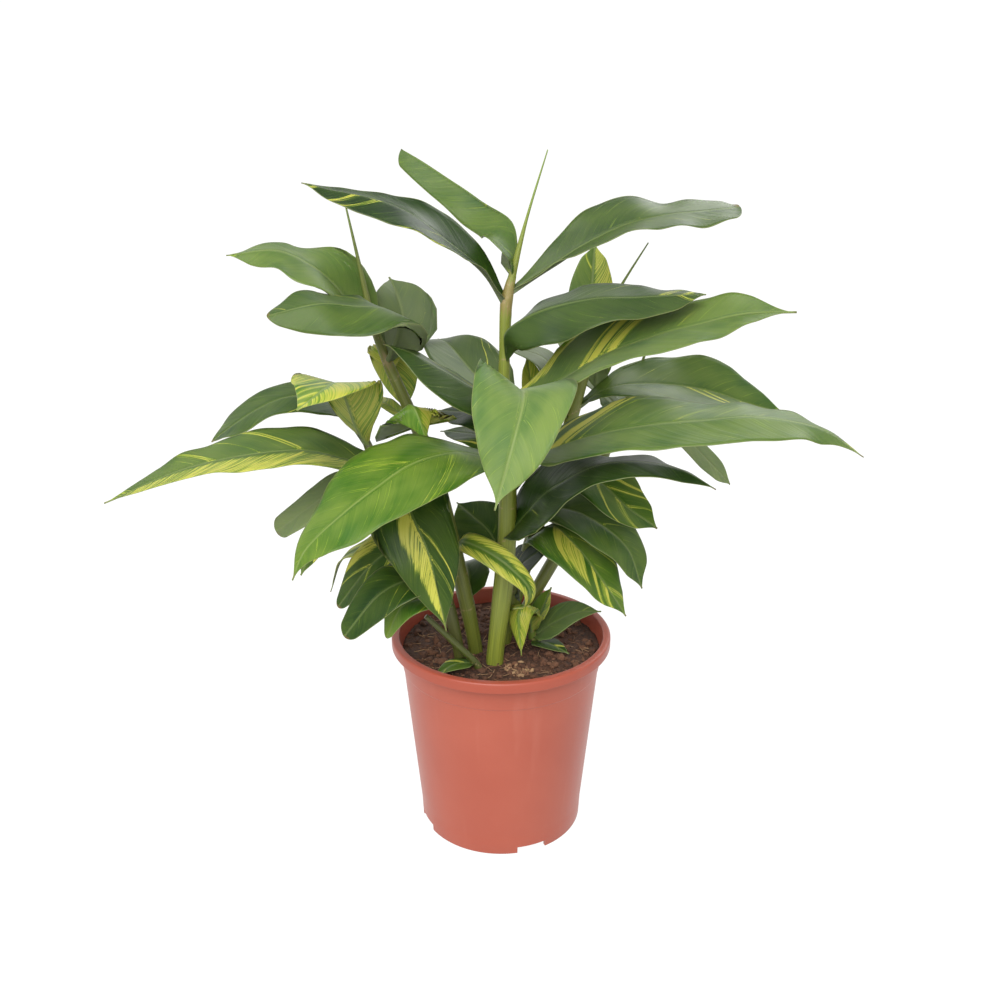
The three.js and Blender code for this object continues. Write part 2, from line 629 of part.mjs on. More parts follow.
// The two faces of a blade: for each row the points across it, upper and lower.
function bladeRows(leaf) {
  const curve = leafCurve(leaf);
  const length = curve.getLength();
  const rows = Math.min(MOST_ROWS, Math.max(FEWEST_ROWS, Math.round(length / ROW_SPACING)));
  const heading = curve.getPoint(1).sub(curve.getPoint(0)).setZ(0).normalize();
  const flatSide = heading.cross(new THREE.Vector3(0, 0, 1));
  const half = leaf.width < NARROW_LEAF ? 1 : HALF_COLUMNS;
  const upper = [];
  const lower = [];
  for (let r = 0; r <= rows; r += 1) {
    const t = r / rows;
    const at = curve.getPointAt(t);
    const forward = curve.getTangentAt(t);
    const side = flatSide.clone().addScaledVector(forward, -flatSide.dot(forward)).normalize();
    side.applyAxisAngle(forward, THREE.MathUtils.degToRad(along(leaf.roll, t)));
    const up = side.clone().cross(forward);
    const least = STALK_HALF_WIDTH + (TIP_HALF_WIDTH - STALK_HALF_WIDTH) * Math.min(1, t * 3);
    const place = (t * (leaf.end ?? 1)) ** (leaf.belly ?? 1);
    const closing = leaf.blunt ? 0 : Math.max(0, (t - TIP_START) / (1 - TIP_START)) ** TIP_BEND;
    const halfWidth = Math.max(least, (leaf.width / 2) * outlineShare(place) * (1 - closing));
    const rib = BLADE + RIB_AT_ROOT + (RIB_AT_TIP - RIB_AT_ROOT) * t;
    const upperRow = [];
    const lowerRow = [];
    for (let c = -half; c <= half; c += 1) {
      const s = Math.abs(c) / half;
      const sign = Math.sign(c);
      const fold = THREE.MathUtils.degToRad(along(sign < 0 ? leaf.left : leaf.right, t));
      const curls = (sign < 0 ? leaf.leftCurl : leaf.rightCurl) ?? [0, 0];
      const curl = THREE.MathUtils.degToRad(along(curls, t));
      const [out, rise] = curledReach(fold, curl, s);
      const lean = fold + curl * s;
      const normal = up.clone().multiplyScalar(Math.cos(lean));
      normal.addScaledVector(side, -sign * Math.sin(lean));
      if (c === 0) normal.copy(up);
      const point = at.clone().addScaledVector(side, sign * halfWidth * out);
      point.addScaledVector(up, halfWidth * rise);
      upperRow.push(point);
      lowerRow.push(point.clone().addScaledVector(normal, c === 0 ? -rib : -BLADE));
    }
    upper.push(upperRow);
    lower.push(lowerRow);
  }
  return { upper, lower };
}

// How far out and up a half blade reaches at a share of its width, when it curls evenly.
function curledReach(fold, curl, s) {
  if (Math.abs(curl) < 0.01) return [s * Math.cos(fold), s * Math.sin(fold)];
  return [
    (Math.sin(fold + curl * s) - Math.sin(fold)) / curl,
    (Math.cos(fold) - Math.cos(fold + curl * s)) / curl,
  ];
}

// Both faces are split along the same diagonals, so the blade keeps its thickness.
function leafSolid(leaf) {
  const { upper, lower } = bladeRows(leaf);
  const columns = upper[0].length;
  const points = [...upper.flat(), ...lower.flat()];
  const under = upper.length * columns;
  const faces = [];
  const quad = (a, b, c, d) => faces.push([a, b, c], [a, c, d]);
  for (let r = 0; r + 1 < upper.length; r += 1) {
    for (let c = 0; c + 1 < columns; c += 1) {
      const a = r * columns + c;
      const b = a + columns;
      quad(a, b, b + 1, a + 1);
      faces.push([under + a, under + b + 1, under + b], [under + a, under + a + 1, under + b + 1]);
    }
    const left = r * columns;
    const right = left + columns - 1;
    quad(left, under + left, under + left + columns, left + columns);
    quad(right + columns, under + right + columns, under + right, right);
  }
  const tip = (upper.length - 1) * columns;
  for (let c = 0; c + 1 < columns; c += 1) {
    quad(c, c + 1, under + c + 1, under + c);
    quad(tip + c + 1, tip + c, under + tip + c, under + tip + c + 1);
  }
  return solidFromFaces(points, faces);
}

// The piece of a leaf that is left outside every cane, with a hair of air around them.
function clearOfCanes(solid, grown) {
  let rest = solid;
  for (const cane of grown) rest = rest.subtract(cane);
  const pieces = rest.decompose();
  return pieces.reduce((best, piece) => (piece.volume() > best.volume() ? piece : best));
}

function meshOf(name, solid, color, roughness) {
  const { vertProperties, triVerts } = solid.getMesh();
  const geometry = new THREE.BufferGeometry();
  geometry.setAttribute("position", new THREE.BufferAttribute(vertProperties.slice(), 3));
  geometry.setIndex(new THREE.BufferAttribute(triVerts.slice(), 1));
  geometry.computeVertexNormals();
  const material = new THREE.MeshStandardMaterial({ color, roughness, metalness: 0 });
  const mesh = new THREE.Mesh(geometry, material);
  mesh.name = name;
  return mesh;
}

const plant = new THREE.Group();
plant.add(meshOf("pot", makePot(), 0xc56e5a, 0.45));
plant.add(meshOf("soil", makeSoil(), 0x3b241b, 0.95));
const grownCanes = Object.keys(CANES).map((name) => caneSolid(name, CLEARANCE));
for (const cane of Object.keys(CANES)) {
  let solid = caneSolid(cane, 0);
  if (SHOOTS[cane]) {
    const own = Object.values(LEAVES).filter((leaf) => leaf.cane === cane);
    for (const leaf of own) solid = solid.add(leafSolid(leaf));
  }
  plant.add(meshOf(SHOOTS[cane] ?? `cane_${cane}`, solid, 0x8a9a52, 0.6));
}
for (const [name, leaf] of Object.entries(LEAVES)) {
  if (SHOOTS[leaf.cane]) continue;
  plant.add(meshOf(name, clearOfCanes(leafSolid(leaf), grownCanes), leaf.tone, 0.5));
}

export default plant;
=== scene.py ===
# %% [markdown]
# # A potted variegated shell ginger
# The plant is a clump of leafy canes in a round terracotta-coloured nursery pot. Each cane is a stack
# of leaf bases rolled round each other, and each leaf is a lance-shaped blade whose side veins lean
# toward the tip. Yellow stripes follow those veins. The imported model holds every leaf, cane, the soil
# and the pot as plain solids at their true size. This script loads them and dresses each one with a
# finer mesh of the same form and a finish made of nodes. CAD tables are in millimetres, meshes in metres.

# %% Load the frame
import math

import bpy
import numpy as np
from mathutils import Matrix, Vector


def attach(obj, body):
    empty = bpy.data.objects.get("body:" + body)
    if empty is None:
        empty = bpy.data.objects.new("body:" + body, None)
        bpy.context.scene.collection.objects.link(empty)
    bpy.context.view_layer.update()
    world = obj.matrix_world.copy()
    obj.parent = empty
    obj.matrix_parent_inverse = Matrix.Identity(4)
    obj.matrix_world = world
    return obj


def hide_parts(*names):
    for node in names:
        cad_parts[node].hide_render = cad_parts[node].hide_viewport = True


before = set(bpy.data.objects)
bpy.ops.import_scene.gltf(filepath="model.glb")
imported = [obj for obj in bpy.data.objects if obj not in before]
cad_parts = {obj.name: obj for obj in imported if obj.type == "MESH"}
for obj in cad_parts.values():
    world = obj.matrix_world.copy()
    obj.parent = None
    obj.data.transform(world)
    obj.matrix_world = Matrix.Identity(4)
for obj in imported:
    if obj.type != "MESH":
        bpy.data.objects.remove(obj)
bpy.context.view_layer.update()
MM = 0.001

# %% [markdown]
# ## Camera
# The photo looks down at the plant from a little under a metre away, so the front leaves are plainly
# larger than the back ones. A long lens from far off would lose that. The place, tilt and lens below
# were solved from the pot: the ellipse of its rim gives the tilt, and how fast the wall narrows
# toward the foot gives the distance.

# %% Camera
CAMERA_PLACE = (-0.001, -0.912, 0.652)
CAMERA_TILT = 70.6
FOCAL_PIXELS = 1050
PICTURE_PIXELS = 1000

lens = bpy.data.cameras.new("camera")
lens.sensor_width = 36
lens.lens = 36 * FOCAL_PIXELS / PICTURE_PIXELS
camera = bpy.data.objects.new("camera", lens)
camera.location = CAMERA_PLACE
camera.rotation_euler = (math.radians(CAMERA_TILT), 0, 0)
bpy.context.scene.collection.objects.link(camera)
bpy.context.scene.camera = camera
print("lens:", round(lens.lens, 1), "mm")

# %% [markdown]
# ## Light
# The photo was taken in a white room: soft light from everywhere, with a large soft source above and
# behind the camera. A white world gives the even part, and it also puts the milky sheen on the pot's
# flanks, because a plastic wall seen at a low angle mirrors the room. Two wide area lights add the
# gentle direction: a key from over the viewer's left shoulder, and a weak one behind the plant that
# picks out the leaves' edges. The plain view transform keeps white paper white.

# %% Light
WORLD_STRENGTH = 1.04
LIGHTS = {
    "key": dict(place=(-0.5, -1.8, 1.9), aim=(0, 0, 0.35), size=2.2, power=90),
    "back": dict(place=(0.9, 1.3, 1.7), aim=(0, 0, 0.4), size=1.2, power=16),
}

scene = bpy.context.scene
scene.view_settings.view_transform = "Standard"
world = bpy.data.worlds.new("white_room")
scene.world = world
world.use_nodes = True
world.node_tree.nodes["Background"].inputs["Color"].default_value = (1, 1, 1, 1)
world.node_tree.nodes["Background"].inputs["Strength"].default_value = WORLD_STRENGTH


def soft_light(name, place, aim, size, power):
    """A square area light that points at a place."""
    light = bpy.data.lights.new(name, "AREA")
    light.size = size
    light.energy = power
    lamp = bpy.data.objects.new(name, light)
    lamp.location = place
    lamp.rotation_euler = (Vector(aim) - Vector(place)).to_track_quat("-Z", "Y").to_euler()
    scene.collection.objects.link(lamp)


for name, settings in LIGHTS.items():
    soft_light(name, **settings)
print("lights:", list(LIGHTS))

# %% [markdown]
# ## Shader maths as Python
# A procedural finish is mostly arithmetic on a few fields: the distance along a leaf, the distance
# from its midrib, some noise. Written as nodes one by one, that is long and hard to read. The small
# class here wraps a node's socket and overloads the arithmetic, so a mask is a plain expression, and
# every operator adds one Math node. Colours go through Mix nodes, which keep their three channels.

# %% Shader helpers
class Wire:
    """One output of a node, with arithmetic on it."""

    def __init__(self, finish, socket):
        self.finish = finish
        self.socket = socket

    def __add__(self, other):
        return self.finish.math("ADD", self, other)

    def __sub__(self, other):
        return self.finish.math("SUBTRACT", self, other)

    def __rsub__(self, other):
        return self.finish.math("SUBTRACT", other, self)

    def __mul__(self, other):
        return self.finish.math("MULTIPLY", self, other)

    def __truediv__(self, other):
        return self.finish.math("DIVIDE", self, other)

    __radd__ = __add__
    __rmul__ = __mul__

    def most(self, other):
        return self.finish.math("MAXIMUM", self, other)

    def least(self, other):
        return self.finish.math("MINIMUM", self, other)

    def step(self, low, high):
        """Eases from 0 at low to 1 at high."""
        values = {"Value": self, "From Min": low, "From Max": high}
        return self.finish.node("ShaderNodeMapRange", {"interpolation_type": "SMOOTHSTEP"}, values)

# %% A finish under construction
class Finish:
    """A material under construction, ending in one Principled shader."""

    def __init__(self, name):
        self.material = bpy.data.materials.new(name)
        self.material.use_nodes = True
        self.tree = self.material.node_tree
        self.shader = self.tree.nodes["Principled BSDF"]

    def node(self, kind, settings, sockets, output=0):
        """Adds a node: its settings first, then the values or links of its sockets."""
        node = self.tree.nodes.new(kind)
        for name, value in settings.items():
            setattr(node, name, value)
        self.feed(node, sockets)
        return Wire(self, node.outputs[output])

    def feed(self, node, sockets):
        for name, value in sockets.items():
            if isinstance(value, Wire):
                self.tree.links.new(value.socket, node.inputs[name])
            else:
                node.inputs[name].default_value = value

    def math(self, operation, a, b):
        return self.node("ShaderNodeMath", {"operation": operation}, {0: a, 1: b})

    def mix(self, share, first, second):
        """Blends two colours by a share from 0 to 1."""
        settings = {"data_type": "RGBA", "clamp_factor": True}
        return self.node("ShaderNodeMix", settings, {0: share, 6: first, 7: second}, 2)

    def vector(self, x, y, z):
        return self.node("ShaderNodeCombineXYZ", {}, {"X": x, "Y": y, "Z": z})

    def field(self, name):
        """The three numbers that a mesh stores at each point under a name."""
        read = self.node("ShaderNodeAttribute", {"attribute_name": name}, {}, "Vector")
        split = self.tree.nodes.new("ShaderNodeSeparateXYZ")
        self.tree.links.new(read.socket, split.inputs[0])
        return [Wire(self, split.outputs[k]) for k in range(3)]

    def noise(self, vector, scale=1.0, detail=2.0, roughness=0.5):
        sockets = {"Vector": vector, "Scale": scale, "Detail": detail, "Roughness": roughness}
        return self.node("ShaderNodeTexNoise", {}, sockets)

    def bump(self, height, depth, strength=1.0, under=None):
        sockets = {"Height": height, "Distance": depth, "Strength": strength}
        if under:
            sockets["Normal"] = under
        return self.node("ShaderNodeBump", {}, sockets)

    def done(self, **sockets):
        names = {name.replace("_", " "): value for name, value in sockets.items()}
        self.feed(self.shader, names)
        return self.material


def colour(red, green, blue):
    """A linear colour with its alpha."""
    return (red, green, blue, 1)


# %% [markdown]
# ## The floor
# The photo's ground is plain white, with no shadow under the pot. A white sheet in this light would
# come out pale grey and hold a shadow. So the floor is a wide square that reflects little and glows
# evenly, just under white, and it lights the pot and the leaves from below as a white sweep does.

# %% Floor
FLOOR_HALF_SIDE = 12
FLOOR_GLOW = 0.95
floor_finish = Finish("floor_paper").done(
    Base_Color=colour(0.1, 0.1, 0.1), Roughness=0.9, Specular_IOR_Level=0.0,
    Emission_Color=colour(1, 1, 1), Emission_Strength=FLOOR_GLOW)
corners = [(-1, -1, 0), (1, -1, 0), (1, 1, 0), (-1, 1, 0)]
floor_mesh = bpy.data.meshes.new("floor")
floor_mesh.from_pydata([[c * FLOOR_HALF_SIDE for c in corner] for corner in corners], [], [(0, 1, 2, 3)])
floor_mesh.materials.append(floor_finish)
floor = bpy.data.objects.new("floor", floor_mesh)
scene.collection.objects.link(floor)
print("floor:", 2 * FLOOR_HALF_SIDE, "m wide")

# %% [markdown]
# ## Meshes from grids
# Leaves, canes, soil and pot are all sheets of points in rows and columns: along and across a leaf,
# along and round a cane. NumPy works out such a grid in one step, and one helper turns it into a
# mesh, joins several into one piece, and stores the numbers that the finishes read.

# %% Mesh helpers
def grid_faces(rows, columns, start=0, wrap=False, flip=False):
    """Quads over a grid of points; wrap joins the last column to the first."""
    last = columns if wrap else columns - 1
    r, c = np.meshgrid(np.arange(rows - 1), np.arange(last), indexing="ij")
    right = (c + 1) % columns
    quads = np.stack([r * columns + c, r * columns + right, (r + 1) * columns + right,
                      (r + 1) * columns + c], axis=-1).reshape(-1, 4) + start
    return quads[:, ::-1] if flip else quads


def piece(name, parts, finish, replaces=(), smooth=True):
    """One object from parts, each a dictionary of points (mm), faces and fields."""
    points = np.concatenate([part["points"].reshape(-1, 3) for part in parts]) * MM
    faces = []
    start = 0
    for part in parts:
        faces += [[int(i) + start for i in face] for block in part["faces"] for face in block]
        start += part["points"].reshape(-1, 3).shape[0]
    mesh = bpy.data.meshes.new(name)
    mesh.from_pydata(points.tolist(), [], faces)
    for field in parts[0].get("fields", {}):
        values = np.concatenate([part["fields"][field].reshape(-1, 3) for part in parts])
        layer = mesh.attributes.new(field, "FLOAT_VECTOR", "POINT")
        layer.data.foreach_set("vector", values.astype(np.float32).ravel())
    if smooth:
        mesh.shade_smooth()
    mesh.materials.append(finish)
    made = bpy.data.objects.new(name, mesh)
    scene.collection.objects.link(made)
    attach(made, "root")
    if replaces:
        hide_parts(*replaces)
    return made


def smooth_step(x, low=0.0, high=1.0):
    u = np.clip((np.asarray(x, float) - low) / (high - low), 0, 1)
    return u * u * (3 - 2 * u)


def unit(v):
    return v / np.linalg.norm(v, axis=-1, keepdims=True)


def triple(a, b, c):
    """Three values for each point of a grid, each given as a grid, a row, a column or one number."""
    return np.stack(np.broadcast_arrays(a, b, c), -1)


def lattice_noise(x, y, cell, seed):
    """Smooth random height from -1 to 1, repeating over a table of seeded numbers."""
    table = np.random.default_rng(seed).uniform(-1, 1, (64, 64))
    u, v = np.asarray(x) / cell, np.asarray(y) / cell
    i, j = np.floor(u).astype(int), np.floor(v).astype(int)
    a, b = smooth_step(u - i), smooth_step(v - j)
    near = table[i % 64, j % 64] * (1 - a) + table[(i + 1) % 64, j % 64] * a
    far = table[i % 64, (j + 1) % 64] * (1 - a) + table[(i + 1) % 64, (j + 1) % 64] * a
    return near * (1 - b) + far * b


# %% [markdown]
# ## The curves of the plant
# A cane or a midrib is a smooth line through a few points that were chosen against the photo.
# A centripetal Catmull-Rom curve goes through every point and never loops between two close ones.
# The tables below repeat the ones that made the solids, in millimetres, so each fine piece lies where
# its solid lies.

# %% Curves
CANE_DEPTH = 30


def spline(points, steps):
    """A centripetal Catmull-Rom curve, as many points at even steps of its parameter."""
    p = np.asarray(points, float)
    p = np.vstack([2 * p[0] - p[1], p, 2 * p[-1] - p[-2]])
    place = np.linspace(0, len(p) - 3, steps)
    span = np.minimum(place.astype(int), len(p) - 4)
    w = (place - span)[:, None]
    a, b, c, d = (p[span + k] for k in range(4))
    gaps = [np.sqrt(np.linalg.norm(q - r, axis=1))[:, None] for q, r in ((a, b), (b, c), (c, d))]
    leave = gaps[1] * ((b - a) / gaps[0] - (c - a) / (gaps[0] + gaps[1]) + (c - b) / gaps[1])
    reach = gaps[1] * ((c - b) / gaps[1] - (d - b) / (gaps[1] + gaps[2]) + (d - c) / gaps[2])
    bend = 3 * c - 3 * b - 2 * leave - reach
    return b + w * leave + w**2 * bend + w**3 * (2 * b - 2 * c + leave + reach)


def even_points(curve, count):
    """Points at even distances along a curve, with its length; further columns come along."""
    steps = np.linalg.norm(np.diff(curve[:, :3], axis=0), axis=1)
    run = np.concatenate([[0], np.cumsum(steps)])
    at = np.linspace(0, run[-1], count)
    columns = [np.interp(at, run, curve[:, k]) for k in range(curve.shape[1])]
    return np.stack(columns, axis=1), run[-1]


def stops(values, t):
    """Eases through evenly spaced stops from the cane (0) to the tip (1)."""
    values = np.asarray(values, float)
    place = np.asarray(t) * (len(values) - 1)
    i = np.minimum(place.astype(int), len(values) - 2)
    return values[i] + (values[i + 1] - values[i]) * smooth_step(place - i)


# Points up each cane with the radius there; the last ones make the young rolled leaf.
CANES = {
    "a": [(-6, -37, 183, 9.6), (4, -32, 284, 8.6), (6, -26, 368, 7), (3, -22, 431, 5.4),
          (3, -20, 474, 5.2), (5, -18, 517, 5.6), (9, -17, 535, 4), (21, -14, 582, 1.4),
          (38, -10, 637, 0.5)],
    "b": [(3, 2, 183, 7.5), (34, 25, 297, 7), (57, 32, 369, 6), (74, 36, 431, 5),
          (83, 38, 467, 4.2), (92, 40, 492, 3), (112, 46, 526, 1.2), (132, 52, 557, 0.5)],
    "c": [(14, 22, 183, 7), (72, 45, 293, 6.2), (106, 66, 371, 5), (125, 78, 414, 2.6),
          (140, 86, 455, 1.1), (152, 92, 495, 0.5)],
    "d": [(-24, -16, 183, 8), (-41, -16, 278, 7.2), (-62, -8, 367, 6), (-84, 0, 421, 5.2),
          (-101, 4, 460, 4.8), (-111, 6, 489, 4), (-123, 10, 546, 1.7), (-135, 14, 605, 0.5)],
    "e": [(-38, -36, 183, 6), (-53, -32, 254, 6.2), (-84, -24, 330, 5.8), (-113, -17, 376, 4.6),
          (-121, -14, 394, 3.2)],
    "f": [(31, 3, 183, 4.6), (30, 2, 194, 4), (29, 1, 205, 1.6)],
    "g": [(-20, -50, 183, 4), (-44, -51, 212, 3.4), (-68, -52, 238, 2.2)],
}


def cane_line(name, steps=500):
    """A cane's middle line with its radius as a fourth column; it starts under the soil's top."""
    rows = np.array(CANES[name], float)
    first = rows[0] - [0, 0, CANE_DEPTH, 0]
    rows = np.vstack([first, rows])
    radius = np.interp(np.linspace(0, len(rows) - 1, steps), range(len(rows)), rows[:, 3])
    return np.column_stack([spline(rows[:, :3], steps), radius])


def at_height(line, height):
    return np.array([np.interp(height, line[:, 2], line[:, k]) for k in range(3)])


for name in CANES:
    print("cane", name, "length", round(even_points(cane_line(name), 2)[1]), "mm")

# %% [markdown]
# ## The leaf table
# Each leaf has the cane and height it leaves from, its width, and points along its midrib. The left
# and right numbers are how many degrees each half rises (or drops) from the cane to the tip, which is
# what makes one leaf a gutter and the next a roof. Roll turns the whole blade about its midrib. Leaves
# whose tips bend out of view end early on the lance outline, and belly below 1 moves the widest place
# toward the cane.

